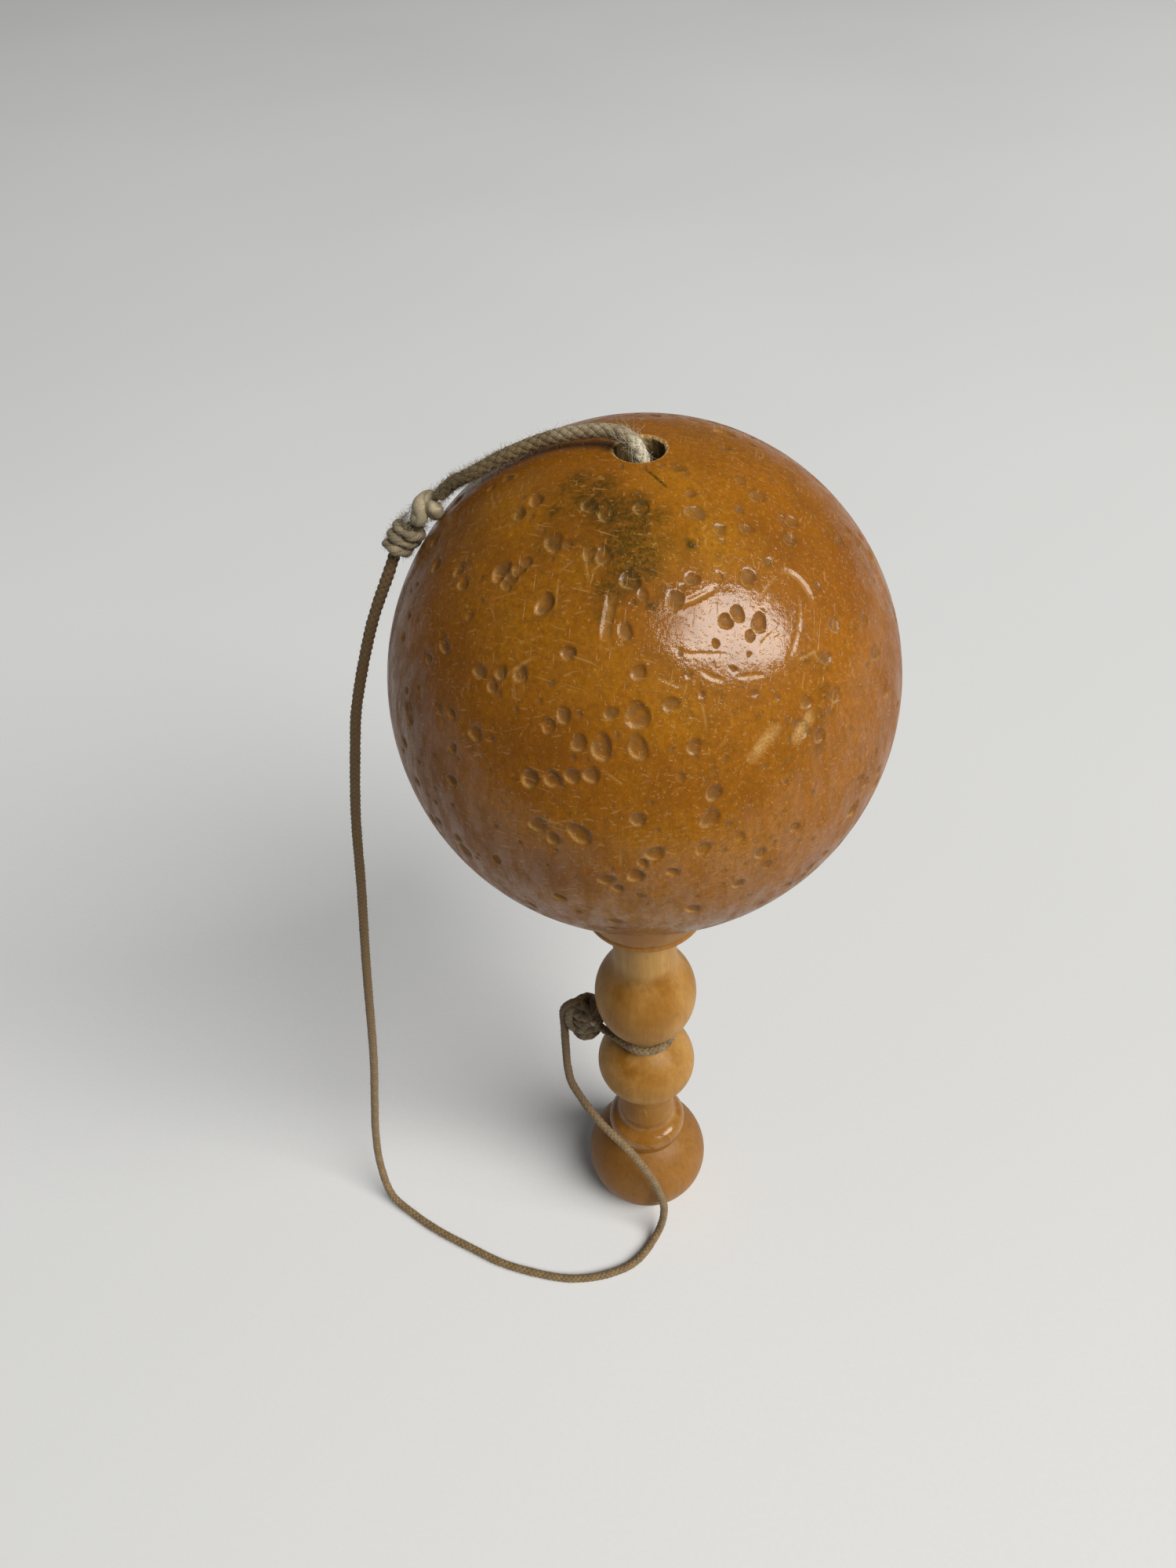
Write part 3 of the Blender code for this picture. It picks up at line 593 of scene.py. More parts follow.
# Materials
class Surface:
    """A procedural material made of shader nodes, in the object's own coordinates."""

    def __init__(self, name):
        self.material = bpy.data.materials.new(name)
        self.material.use_nodes = True
        self.tree = self.material.node_tree
        self.shader = self.tree.nodes["Principled BSDF"]
        self.place = self.tree.nodes.new("ShaderNodeTexCoord").outputs["Object"]

    def put(self, socket, value):
        """Link a value to a socket, or set a constant on it."""
        if isinstance(value, bpy.types.NodeSocket):
            self.tree.links.new(value, socket)
        else:
            socket.default_value = value

    def set(self, **values):
        """Set the shader's own inputs."""
        for key, value in values.items():
            self.put(self.shader.inputs[key.replace("_", " ").title().replace("Ior", "IOR")], value)

    def node(self, kind, output, inputs, **settings):
        """One output of a new node with these inputs and settings."""
        node = self.tree.nodes.new("ShaderNode" + kind)
        for key, value in settings.items():
            setattr(node, key, value)
        for key, value in inputs.items():
            self.put(node.inputs[key], value)
        return node.outputs[output]

    def attribute(self, name):
        return self.node("Attribute", "Fac", {}, attribute_name=name)

    def mapped(self, scale, turn=(0, 0, 0), way="POINT"):
        inputs = {"Vector": self.place, "Rotation": turn, "Scale": scale}
        return self.node("Mapping", "Vector", inputs, vector_type=way)

    def noise(self, scale, detail=3.0, roughness=0.5, stretch=1.0, distortion=0.0, place=None):
        """Noise whose features are drawn out along z where stretch is below 1."""
        inputs = {"Vector": self.mapped((1, 1, stretch)) if place is None else place, "Scale": scale,
                  "Detail": detail, "Roughness": roughness, "Distortion": distortion}
        return self.node("TexNoise", 0, inputs)

    def streaks(self, scale, turn, low):
        """Short straight scratches that all run one way."""
        drawn_out = self.mapped((1, 1, 16), turn, "TEXTURE")
        return self.span(self.noise(scale, 1.0, place=drawn_out), low, low + 0.05)

    def lines(self, scale, width, stretch, distortion):
        """Thin curved lines, where a noise crosses its middle value."""
        wave = self.noise(scale, 0.0, 0.4, stretch, distortion)
        off = self.maths("ABSOLUTE", self.maths("SUBTRACT", wave, 0.5), 0.0)
        return self.span(off, 0.0, width, 1.0, 0.0)

    def span(self, value, low, high, to_low=0.0, to_high=1.0):
        """Smooth change from one value to another while the input goes from low to high."""
        inputs = {"Value": value, "From Min": low, "From Max": high, "To Min": to_low, "To Max": to_high}
        return self.node("MapRange", 0, inputs, interpolation_type="SMOOTHSTEP")

    def maths(self, operation, first, second):
        return self.node("Math", 0, {0: first, 1: second}, operation=operation)

    def times(self, first, second):
        return self.maths("MULTIPLY", first, second)

    def most(self, first, second):
        return self.maths("MAXIMUM", first, second)

    def mix(self, share, first, second):
        """Two colours mixed, of which a constant one has three values."""
        first, second = ((*item, 1.0) if isinstance(item, tuple) else item for item in (first, second))
        return self.node("Mix", 2, {0: share, 6: first, 7: second}, data_type="RGBA")

    def tint(self, colour, mask, strength, other):
        """A colour that goes over to another one where the mask is."""
        return self.mix(self.times(mask, strength), colour, other)

    def layers(self, colour, rows):
        """Noise over a colour: scale, detail, roughness, stretch, from, to, strength, colour."""
        for scale, detail, roughness, stretch, low, high, strength, other in rows:
            mask = self.span(self.noise(scale, detail, roughness, stretch), low, high)
            colour = self.tint(colour, mask, strength, other)
        return colour

    def bump(self, height, distance, normal=None):
        """A normal tilted by a height, on top of another normal if there is one."""
        inputs = {"Strength": 1.0, "Distance": distance, "Height": height}
        if normal is not None:
            inputs["Normal"] = normal
        return self.node("Bump", "Normal", inputs)


def shade(colour, share):
    return tuple(share * c for c in colour)


def ball_wood():
    """Amber varnish over wood, stained, dented and scratched, and bare wood in the holes."""
    s = Surface("ball_wood")
    patches = s.span(s.noise(42, 3, 0.55), 0.35, 0.66)
    colour = s.mix(patches, (0.255, 0.082, 0.004), (0.350, 0.125, 0.006))
    golden = s.times(s.attribute("gold"), s.span(s.noise(140, 4, 0.6), 0.30, 0.62, 0.35, 1.0))
    colour = s.mix(golden, colour, (0.425, 0.178, 0.006))
    grain = (1500, 4, 0.60, 0.07, 0.36, 0.68, 0.26, (0.180, 0.058, 0.004))
    flecks = (3800, 2, 0.50, 0.14, 0.62, 0.74, 0.40, (0.110, 0.038, 0.004))
    clouds = (110, 4, 0.60, 1.00, 0.45, 0.75, 0.45, (0.185, 0.064, 0.005))
    fine_dark = (1300, 6, 0.78, 1.00, 0.36, 0.64, 0.42, (0.150, 0.054, 0.005))
    fine_bright = (1000, 6, 0.78, 0.80, 0.54, 0.70, 0.34, (0.520, 0.230, 0.022))
    colour = s.layers(colour, (grain, flecks, clouds, fine_dark, fine_bright))
    spread = s.span(s.noise(70, 3, 0.6), 0.40, 0.62, 0.15, 0.75)
    speckle = s.times(s.span(s.noise(1150, 5, 0.72), 0.50, 0.68), spread)
    colour = s.tint(colour, speckle, 0.66, (0.120, 0.054, 0.006))

    # Marks that the mesh carries
    dent = s.attribute("dent")
    # Dents' hollows: darker dirt, and a greyer tone that is a painted reflection of the room in them
    painted_light_and_dent_grime = s.span(s.noise(700, 4, 0.65), 0.35, 0.65, 0.18, 0.66)
    colour = s.tint(colour, s.span(dent, 0.05, 0.35), painted_light_and_dent_grime, (0.170, 0.096, 0.042))
    patchy = s.span(s.noise(600, 3, 0.6), 0.35, 0.65, 0.10, 0.45)
    colour = s.tint(colour, s.attribute("dirt"), patchy, (0.085, 0.034, 0.004))
    mottle = s.span(s.noise(1500, 6, 0.74, 0.7), 0.38, 0.60, 0.38, 1.0)
    stain = s.times(s.span(s.attribute("stain"), 0.02, 0.80), mottle)
    colour = s.tint(colour, stain, 0.84, (0.034, 0.027, 0.003))
    # Pale bare wood on gouges and the holes' edges, where the varnish is worn through, and a painted
    # highlight on one side of each dent's rim
    worn = s.attribute("worn")
    grit = s.span(s.noise(2600, 3, 0.6), 0.35, 0.6, 0.35, 1.0)
    colour = s.tint(colour, s.times(worn, grit), 0.75, (0.560, 0.350, 0.125))

    # Fine scratches every way, then the bare wood
    scratch = s.streaks(1900, (0.4, 1.1, 0.2), 0.685)
    for turn in ((1.3, 0.3, 0.9), (2.2, 2.0, 0.5), (0.7, 0.6, 2.4), (1.8, 1.2, 1.4)):
        scratch = s.most(scratch, s.streaks(1900, turn, 0.685))
    colour = s.tint(colour, scratch, 0.36, (0.500, 0.270, 0.080))
    raw = s.attribute("raw")
    fibre = s.span(s.noise(2400, 4, 0.65, 0.10), 0.30, 0.70)
    bare = s.mix(fibre, (0.380, 0.200, 0.064), (0.880, 0.630, 0.310))
    colour = s.mix(raw, colour, bare)
    # Painted shade in the cord hole: the cord's shadow on its left wall, and shade on its right wall and deep
    # down
    colour = s.tint(colour, s.attribute("painted_hole_shade"), 0.86, (0.045, 0.024, 0.008))

    # Varnish
    rubbed_and_painted_highlight = s.most(s.times(worn, 0.6), s.span(dent, 0.22, 0.46, 0.0, 0.90))
    rubbed_and_painted_highlight = s.most(rubbed_and_painted_highlight, s.times(s.attribute("dull"), 0.60))
    smears = s.span(s.noise(420, 5, 0.70, 0.34), 0.35, 0.65, 0.10, 0.52)
    varnish = s.span(s.attribute("gloss"), 0.0, 1.0, smears, 0.80)
    varnish = s.times(varnish, s.span(rubbed_and_painted_highlight, 0.0, 1.0, 1.0, 0.0))
    varnish = s.times(varnish, s.span(raw, 0.0, 0.5, 1.0, 0.0))
    pores = s.bump(s.noise(2600, 3, 0.55, 0.3), 0.000026)
    wavy = s.bump(s.noise(420, 4, 0.55), 0.000110, pores)
    cut = s.bump(scratch, -0.000030, wavy)
    rough_wood = s.bump(s.times(fibre, raw), 0.00030, cut)
    s.set(base_color=colour, roughness=s.span(raw, 0, 1, 0.50, 0.85), normal=rough_wood,
          coat_weight=varnish, coat_normal=cut, coat_ior=1.58, coat_roughness=0.10, specular_ior_level=0.06)
    return s.material


def turned_wood(name, dark, light, amber, coat, coat_roughness=0.34, polished=False):
    """Satin wood: grain along the handle, patches of amber varnish, small knocks, and polish if any."""
    s = Surface(name)
    tone = s.span(s.noise(60, 3, 0.6, 0.6), 0.35, 0.68)
    colour = s.mix(tone, dark, light)
    mottle = s.span(s.noise(170, 4, 0.6, 0.8), 0.36, 0.60, 0.4, 1.0)
    colour = s.tint(colour, s.attribute("amber"), mottle, amber)
    grain = (1100, 4, 0.62, 0.06, 0.36, 0.70, 0.28, shade(dark, 0.50))
    flecks = (3600, 2, 0.50, 0.12, 0.63, 0.74, 0.26, shade(dark, 0.30))
    colour = s.layers(colour, (grain, flecks))
    colour = s.tint(colour, s.attribute("dent"), 0.30, shade(dark, 0.40))
    marks = s.times(s.lines(210, 0.006, 0.5, 0.8), s.span(s.noise(120, 2), 0.50, 0.60))
    colour = s.tint(colour, marks, 0.25, tuple(min(1.25 * c + 0.04, 1) for c in light))
    fine = s.bump(s.noise(2400, 3, 0.55, 0.2), 0.000022)
    around = s.mapped((0.02, 0.02, 1))
    rings = s.bump(s.noise(1500, 1, 0.5, place=around), 0.000016, fine)
    gloss = s.most(s.attribute("polish"), coat) if polished else coat
    s.set(base_color=colour, roughness=s.span(tone, 0, 1, 0.55, 0.46), normal=rings, coat_weight=gloss,
          coat_normal=rings, coat_roughness=coat_roughness, specular_ior_level=0.10)
    return s.material


def cord_fabric(name, dark, light, soil=None, shine=0.75, parts=(), rough_fibres=0.00008):
    """Braided cord: strands of slightly different tones, painted shade in their gaps, and fine fibres.
    Parts of its length have another colour: colour, start, end, length over which it fades."""
    s = Surface(name)
    colour = s.mix(s.attribute("tone"), shade(light, 0.70), light)
    fibres = s.span(s.noise(4600, 3, 0.6), 0.32, 0.68)
    colour = s.tint(colour, fibres, 0.40, dark)
    if soil is not None:
        dirt = s.span(s.noise(340, 4, 0.6), 0.42, 0.66)
        colour = s.tint(colour, dirt, 0.75, soil)
    # Painted shade in the gaps between the strands
    painted_gap_shade = s.span(s.attribute("crown"), 0.15, 0.80, 0.85, 0.0)
    colour = s.mix(painted_gap_shade, colour, shade(dark, 0.30))
    rough = s.span(fibres, 0, 1, shine - 0.08, shine + 0.12)
    for part, start, end, fade in parts:
        reach = s.maths("ADD", s.attribute("along"), s.times(s.noise(420, 3, 0.6), 0.004))
        past_start = s.span(reach, start, start + fade)
        near = s.times(past_start, s.span(reach, end, end + fade, 1.0, 0.0))
        worn = s.tint(part, fibres, 0.6, shade(part, 0.5))
        colour = s.mix(near, colour, s.tint(worn, painted_gap_shade, 0.6, shade(dark, 0.3)))
        rough = s.most(rough, s.times(near, 0.9))
    fuzz = s.bump(s.noise(5200, 3, 0.6), rough_fibres)
    s.set(base_color=colour, roughness=rough, normal=fuzz, sheen_weight=0.12, sheen_roughness=0.5,
          specular_ior_level=0.35)
    return s.material


def fibre_fabric(name, dark, light):
    """Loose hairs of one cord, of mixed tones."""
    s = Surface(name)
    colour = s.mix(s.attribute("tone"), dark, light)
    streak = s.span(s.noise(1500, 2, 0.5), 0.4, 0.6)
    colour = s.tint(colour, streak, 0.3, shade(dark, 0.7))
    s.set(base_color=colour, roughness=s.span(streak, 0, 1, 0.6, 0.8))
    return s.material


def floor_paper():
    s = Surface("floor_paper")
    tone = s.span(s.noise(3, 2, 0.5), 0.3, 0.7)
    grain = s.span(s.noise(900, 2, 0.5), 0.3, 0.7)
    colour = s.mix(tone, (0.735, 0.760, 0.792), (0.765, 0.790, 0.825))
    colour = s.tint(colour, grain, 0.06, (0.560, 0.578, 0.602))
    s.set(base_color=colour, roughness=s.span(grain, 0, 1, 0.62, 0.70))
    return s.material


# Camera
def place_camera():
    data = bpy.data.cameras.new("camera")
    data.sensor_width = SENSOR
    data.lens = FOCAL_PIXELS / FRAME_HEIGHT * SENSOR
    data.clip_start = 0.01
    data.clip_end = 50.0
    camera = bpy.data.objects.new("camera", data)
    turn = Matrix((CAMERA_RIGHT, CAMERA_UP, -CAMERA_FORWARD)).transposed().to_4x4()
    camera.matrix_world = Matrix.Translation(Vector(CAMERA_PLACE)) @ turn
    bpy.context.collection.objects.link(camera)
    bpy.context.scene.camera = camera
    bpy.context.scene.view_settings.view_transform = "Standard"


# Cords
def build_ball_cord():
    """The thick cord, its loose fibres, and the pale fray where it leaves the ball."""
    fabric = cord_fabric("thick_cord", (0.075, 0.050, 0.022), (0.310, 0.225, 0.115), shine=0.42,
                         parts=(((0.700, 0.640, 0.490), 0.020, 0.0360, 0.003),
                                ((0.430, 0.345, 0.215), 0.0360, 0.0460, 0.005),
                                ((0.245, 0.172, 0.082), 0.0500, 0.0610, 0.005)))
    hair_fabric = fibre_fabric("thick_hair", (0.150, 0.108, 0.052), (0.420, 0.330, 0.190))
    fray_fabric = fibre_fabric("fray_hair", (0.340, 0.290, 0.195), (0.700, 0.640, 0.500))
    line = smooth_line(BALL_CORD_ROUTE, spacing=0.00011)
    along = np.linspace(0, BALL_CORD_LENGTH, len(line))
    frayed = smooth_step(0.020, 0.026, along) * (1 - smooth_step(0.0365, 0.0385, along))
    cord = cord_piece("ball_cord_braid", line, BALL_BRAID_RADIUS, columns=64,
                      relief=braid(strands=4, pitch=0.0064, low=0.66), material=fabric,
                      swell=FRAY_SWELL * frayed)
    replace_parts(cord, "ball_cord")
    fuzz = 0.6 + 3.0 * smooth_step(0.050, 0.060, along)
    fuzz[along < 0.032] = 0.0
    hair = fibre_piece("ball_cord_fibres", line, BALL_BRAID_RADIUS, count=3000, lengths=(0.0003, 0.0010),
                       spread=0.9, material=hair_fabric, chance=fuzz)
    fray = fibre_piece("ball_cord_fray", line, (1 + FRAY_SWELL) * BALL_BRAID_RADIUS, count=800,
                       lengths=(0.0006, 0.0020), spread=0.16, material=fray_fabric, chance=frayed,
                       thickness=0.000030)
    return line, cord, hair, fray


def build_eye(material):
    """Two plump strands, half twisted about each other, that turn back into one another."""
    top = Vector(SPLICE_TOP)
    along = (Vector(SPLICE_MIDDLE) - top).normalized()
    outward = (top - Vector(BALL_CENTRE)).normalized()
    side = along.cross(outward).normalized()
    outward = side.cross(along)
    first = top + along * FIT_GAP
    turn_back = Vector(SPLICE_MIDDLE) - along * (EYE_SPREAD + STRAND_RADIUS + FIT_GAP)
    run = (turn_back - first).length
    strands = ([], [])
    for t in np.linspace(0, 1, 25):
        twist = math.pi * t * t * (3 - 2 * t)
        offset = (side * math.cos(twist) + outward * math.sin(twist)) * EYE_SPREAD
        middle = first + along * run * t
        strands[0].append(middle + offset)
        strands[1].append(middle - offset)
    bend = []
    for angle in np.linspace(0, math.pi, 17)[1:-1]:
        bend.append(turn_back + (along * math.sin(angle) - side * math.cos(angle)) * EYE_SPREAD)
    points = np.array([tuple(point) for point in strands[0] + bend + strands[1][::-1]])
    piece = cord_piece("splice_eye_strands", even_line(points, spacing=0.0001), 1.45 * STRAND_RADIUS,
                       columns=48, relief=yarn(plies=3, pitch=0.0110, low=0.90), material=material,
                       uneven=0.22)
    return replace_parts(piece, "splice_eye")


def build_whipping():
    """Thread wound round the splice."""
    fabric = cord_fabric("whipping", (0.130, 0.095, 0.050), (0.400, 0.325, 0.205), rough_fibres=0.00020)
    axis = Vector(SPLICE_END) - Vector(SPLICE_MIDDLE)
    middle = (Vector(SPLICE_MIDDLE) + Vector(SPLICE_END)) / 2 + axis.normalized() * FIT_GAP
    ring = PLAY_CORD_RADIUS + FIT_GAP + WHIPPING_RADIUS
    line = winding(middle, axis, ring, WHIPPING_RADIUS, WHIPPING_TURNS)
    piece = cord_piece("splice_whipping_turns", even_line(line, spacing=0.00009), 1.5 * WHIPPING_RADIUS,
                       columns=36, relief=yarn(plies=3, pitch=0.0042), material=fabric, uneven=0.40)
    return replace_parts(piece, "splice_whipping")


def build_splice_hair():
    fabric = fibre_fabric("splice_tuft", (0.240, 0.190, 0.110), (0.640, 0.560, 0.400))
    line = smooth_line((SPLICE_TOP, SPLICE_MIDDLE, SPLICE_END), spacing=0.0001)
    tuft = 0.25 + 2.5 * smooth_step(0.45, 0.75, np.linspace(0, 1, len(line)))
    return fibre_piece("splice_fibres", line, TUFT_RADIUS, count=3600, lengths=(0.0003, 0.0013), spread=1.0,
                       material=fabric, chance=tuft, thickness=0.000026)


def build_stop_knot():
    """Turns of the thick cord inside the ball, under the hole that they can't pass."""
    fabric = cord_fabric("stop_knot_cord", (0.140, 0.110, 0.060), (0.460, 0.385, 0.250))
    line = winding((0, 0, 0), (0, 0, 1), 2 * BALL_CORD_RADIUS + FIT_GAP, BALL_CORD_RADIUS, STOP_KNOT_TURNS)
    line[:, 2] += BORE_END - FIT_GAP - BALL_CORD_RADIUS - line[:, 2].max()
    piece = cord_piece("stop_knot_turns", even_line(line, spacing=0.00014), 1.12 * BALL_CORD_RADIUS,
                       columns=48, relief=braid(strands=4, pitch=0.0105), material=fabric)
    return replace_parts(piece, "stop_knot")


def build_play_cord():
    """The thin cord and its loose fibres, which stretch between the two ends of the cord."""
    fabric = cord_fabric("thin_cord", (0.070, 0.043, 0.017), (0.310, 0.208, 0.096), shine=0.60,
                         parts=(((0.225, 0.142, 0.062), -0.050, 0.115, 0.040),
                                ((0.170, 0.112, 0.062), 0.306, 0.400, 0.020)))
    hair_fabric = fibre_fabric("thin_hair", (0.110, 0.074, 0.034), (0.340, 0.245, 0.125))
    line = smooth_line(PLAY_CORD_ROUTE, spacing=0.00014)
    cord = cord_piece("play_cord_braid", line, PLAY_CORD_RADIUS, columns=48,
                      relief=braid(strands=4, pitch=0.0046, low=0.68), material=fabric)
    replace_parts(cord, "play_cord")
    bare_start, bare_end = 60, 40
    hair = fibre_piece("play_cord_fibres", line[bare_start:-bare_end], PLAY_CORD_RADIUS, count=2400,
                       lengths=(0.0003, 0.0008), spread=0.9, material=hair_fabric, thickness=0.000014)
    for piece in (cord, hair):
        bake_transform(piece)
    return line, cord, hair


def knot_loop_lines():
    """Loops that cross over the turns of the handle knot."""
    lines = []
    for facing, lean, width, height, shift in KNOT_LOOPS:
        turn = np.linspace(0, 2 * math.pi, 120)
        across = np.array((math.cos(facing), math.sin(facing), 0.0))
        through = np.array((-math.sin(facing), math.cos(facing), 0.0))
        up = np.array((0.0, 0.0, math.cos(lean))) + through * math.sin(lean)
        line = KNOT_MIDDLE + np.array((shift, 0.0, KNOT_LOOP_RISE)) + np.outer(np.cos(turn) * width, across)
        sway = np.outer(np.sin(2 * turn) * KNOT_LOOP_SWAY, through)
        lines.append(even_line(line + np.outer(np.sin(turn) * height, up) + sway, spacing=0.00012))
    return lines


def build_handle_knot(end_material):
    """The soiled knot at the groove: plump turns of the thin cord, loops crossing them and a cut end."""
    fabric = cord_fabric("knot_cord", (0.060, 0.040, 0.020), (0.260, 0.190, 0.105),
                         soil=(0.050, 0.026, 0.010))
    hair_fabric = fibre_fabric("knot_hair", (0.100, 0.076, 0.044), (0.300, 0.235, 0.145))
    line = winding(KNOT_MIDDLE, (0, 0, 1), KNOT_CORE + FIT_GAP + PLAY_CORD_RADIUS, PLAY_CORD_RADIUS,
                   HANDLE_KNOT_TURNS)
    turns = cord_piece("handle_knot_turns", even_line(line, spacing=0.00012), 1.2 * PLAY_CORD_RADIUS,
                       columns=44, relief=braid(strands=4, pitch=0.0056, low=0.72), material=fabric)
    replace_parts(turns, "handle_knot")
    pieces = [turns]
    loop_lines = knot_loop_lines()
    for index, loop in enumerate(loop_lines):
        pieces.append(cord_piece(f"handle_knot_loop_{index}", loop, PLAY_CORD_RADIUS, columns=40,
                                 relief=braid(strands=4, pitch=0.0050, low=0.72), material=fabric,
                                 uneven=0.10))
    start = KNOT_MIDDLE + np.array(CUT_END_OFFSET)
    end = start + np.array(CUT_END_RUN)
    pieces.append(cord_piece("handle_knot_end", even_line(np.array((start, end)), spacing=0.0001),
                             CUT_END_RADIUS, columns=32, relief=braid(strands=3, pitch=0.0070, low=0.66),
                             material=end_material))
    pieces.append(fibre_piece("handle_knot_fibres", np.vstack(loop_lines), PLAY_CORD_RADIUS, count=700,
                              lengths=(0.0003, 0.0010), spread=1.0, material=hair_fabric, thickness=0.000016))
    return pieces


def build_groove_loop():
    """One turn round the groove, whose two ends run straight to the knot."""
    fabric = cord_fabric("loop_cord", (0.065, 0.042, 0.018), (0.300, 0.215, 0.110),
                         soil=(0.090, 0.058, 0.026))
    ring = GROOVE_RADIUS + FIT_GAP + PLAY_CORD_RADIUS
    knot_radius = KNOT_CORE + FIT_GAP + 2 * PLAY_CORD_RADIUS
    leave = math.acos(ring / KNOT_OUT)
    straight = math.sqrt(KNOT_OUT ** 2 - ring ** 2) - knot_radius - FIT_GAP
    plan = [(ring * math.cos(a), ring * math.sin(a)) for a in np.linspace(leave, 2 * math.pi - leave, 90)]
    ahead = np.array((math.sin(leave), math.cos(leave))) * straight
    last = np.array((ring * math.cos(leave), -ring * math.sin(leave))) + ahead
    plan = [(last[0], -last[1])] + plan + [tuple(last)]
    cosine, sine = math.cos(KNOT_ANGLE), math.sin(KNOT_ANGLE)
    line = np.array([(x * cosine - y * sine, x * sine + y * cosine, GROOVE_MIDDLE) for x, y in plan])
    piece = cord_piece("groove_loop_braid", even_line(line, spacing=0.00012), PLAY_CORD_RADIUS, columns=44,
                       relief=braid(strands=4, pitch=0.0046, low=0.70), material=fabric)
    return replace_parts(piece, "groove_loop")


def build_cords():
    strands = cord_fabric("splice_strands", (0.190, 0.148, 0.084), (0.560, 0.475, 0.315), shine=0.36,
                          rough_fibres=0.00014)
    ball_line, ball_cord, ball_hair, ball_fray = build_ball_cord()
    eye = build_eye(strands)
    whipping = build_whipping()
    splice_hair = build_splice_hair()
    stop_knot = build_stop_knot()
    play_line, play_cord, play_hair = build_play_cord()
    knot = build_handle_knot(strands)
    loop = build_groove_loop()

    for piece in (ball_cord, ball_hair, ball_fray, eye, whipping, splice_hair, stop_knot):
        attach(piece, "cord_upper")
    for piece in (*knot, loop):
        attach(piece, "cord_lower")


# Ball
def ball_height(radius):
    """How far the ball's skin is above or below its middle, at a distance from the axis."""
    return BALL_HALF_HEIGHT * math.sqrt(1 - (radius / BALL_RADIUS) ** 2)


def ball_rings():
    """Rings of the ball's skin, bore and cord hole, from the hole's edge down the outside and back up:
    radius and height, number of points, and whether the ring is on the skin."""
    top = math.acos(CORD_HOLE_RADIUS / BALL_RADIUS)
    bottom = -math.acos(BORE_RADIUS / BALL_RADIUS)
    fine_end = math.radians(-42)
    wide, tall = BALL_RADIUS - SKIN_INSET, BALL_HALF_HEIGHT - SKIN_INSET
    rings, counts = [], []
    for angle in np.concatenate([np.linspace(top, fine_end, 390), np.linspace(fine_end, bottom, 52)[1:]]):
        tilt = abs(math.degrees(angle))
        rings.append((wide * math.cos(angle), BALL_MIDDLE + tall * math.sin(angle)))
        counts.append(BALL_COLUMNS if tilt < 60 else BALL_COLUMNS // 2 if tilt < 77 else BALL_COLUMNS // 4)
    bore_bottom = rings[-1][1]
    hole_top = rings[0][1]
    inside = [(BORE_RADIUS - 0.0001, bore_bottom + 0.0004)]
    inside += [(BORE_RADIUS, z) for z in np.linspace(bore_bottom + 0.0012, BORE_END - 0.0006, 40)]
    inside += [(BORE_RADIUS - 0.0006, BORE_END), (CORD_HOLE_RADIUS + 0.0006, BORE_END)]
    inside += [(CORD_HOLE_RADIUS, z) for z in np.linspace(BORE_END + 0.0008, hole_top - 0.0010, 60)]
    inside += [(CORD_HOLE_RADIUS - 0.00012, hole_top - 0.0004)]
    skin = [True] * len(rings) + [False] * len(inside)
    return rings + inside, counts + [BALL_COLUMNS // 4] * len(inside), skin


def ring_angles(count):
    """Angles round a ring, closer together at the front, where the camera looks."""
    even = np.arange(count) * 2 * math.pi / count
    return -math.pi / 2 + even - FRONT_CROWDING * np.sin(even)


def ball_points(rings, counts):
    points = []
    for (radius, height), count in zip(rings, counts):
        angles = ring_angles(count)
        heights = np.full(count, height)
        points.append(np.column_stack([radius * np.cos(angles), radius * np.sin(angles), heights]))
    return np.vstack(points)


def ball_normals(points):
    normals = (points - BALL_CENTRE) / BALL_SIZE ** 2
    return normals / np.linalg.norm(normals, axis=1)[:, None]


def near_line(points, line):
    """Distance of each point from a line of points."""
    best = np.full(len(points), 1.0)
    for start, end in zip(line[:-1], line[1:]):
        step = end - start
        share = np.clip((points - start) @ step / (step @ step), 0, 1)
        best = np.minimum(best, np.linalg.norm(points - start - share[:, None] * step, axis=1))
    return best


def spots_on(points, spots, fall):
    """Soft round spots on the ball, at pixels of the frame: how strong they are at each point."""
    value = np.zeros(len(points))
    for column, row, size, strength in spots:
        centre, distance = on_ball(column, row)
        share = np.linalg.norm(points - centre, axis=1) / (size * distance / FOCAL_PIXELS)
        value = np.maximum(value, strength * np.exp(-fall * share ** 2))
    return value


def random_skin_point():
    """A point of the ball's skin, and how much it faces the camera."""
    way = unit(rng.normal(size=3))
    point = way * BALL_SIZE + BALL_CENTRE
    return point, ball_normals(point[None])[0] @ unit(CAMERA_PLACE - point)


def dent_list():
    """Dents that show in the frame, then more on the sides that do not: point, radius, depth."""
    dents = []
    for column, row, size in DENTS:
        point, distance = on_ball(column, row)
        radius = size * distance / FOCAL_PIXELS * LISTED_DENT_SCALE
        dents.append((point, radius, radius * rng.uniform(0.24, 0.36)))
    for _ in range(UNSEEN_DENTS):
        point, seen = random_skin_point()
        radius = rng.choice(UNSEEN_DENT_RADII, p=UNSEEN_DENT_SHARES) * rng.uniform(0.8, 1.2)
        if seen > LISTED_VIEW:
            radius = min(radius, EXTRA_DENT_RADIUS)
        dents.append((point, radius, radius * rng.uniform(0.20, 0.36)))
    return dents


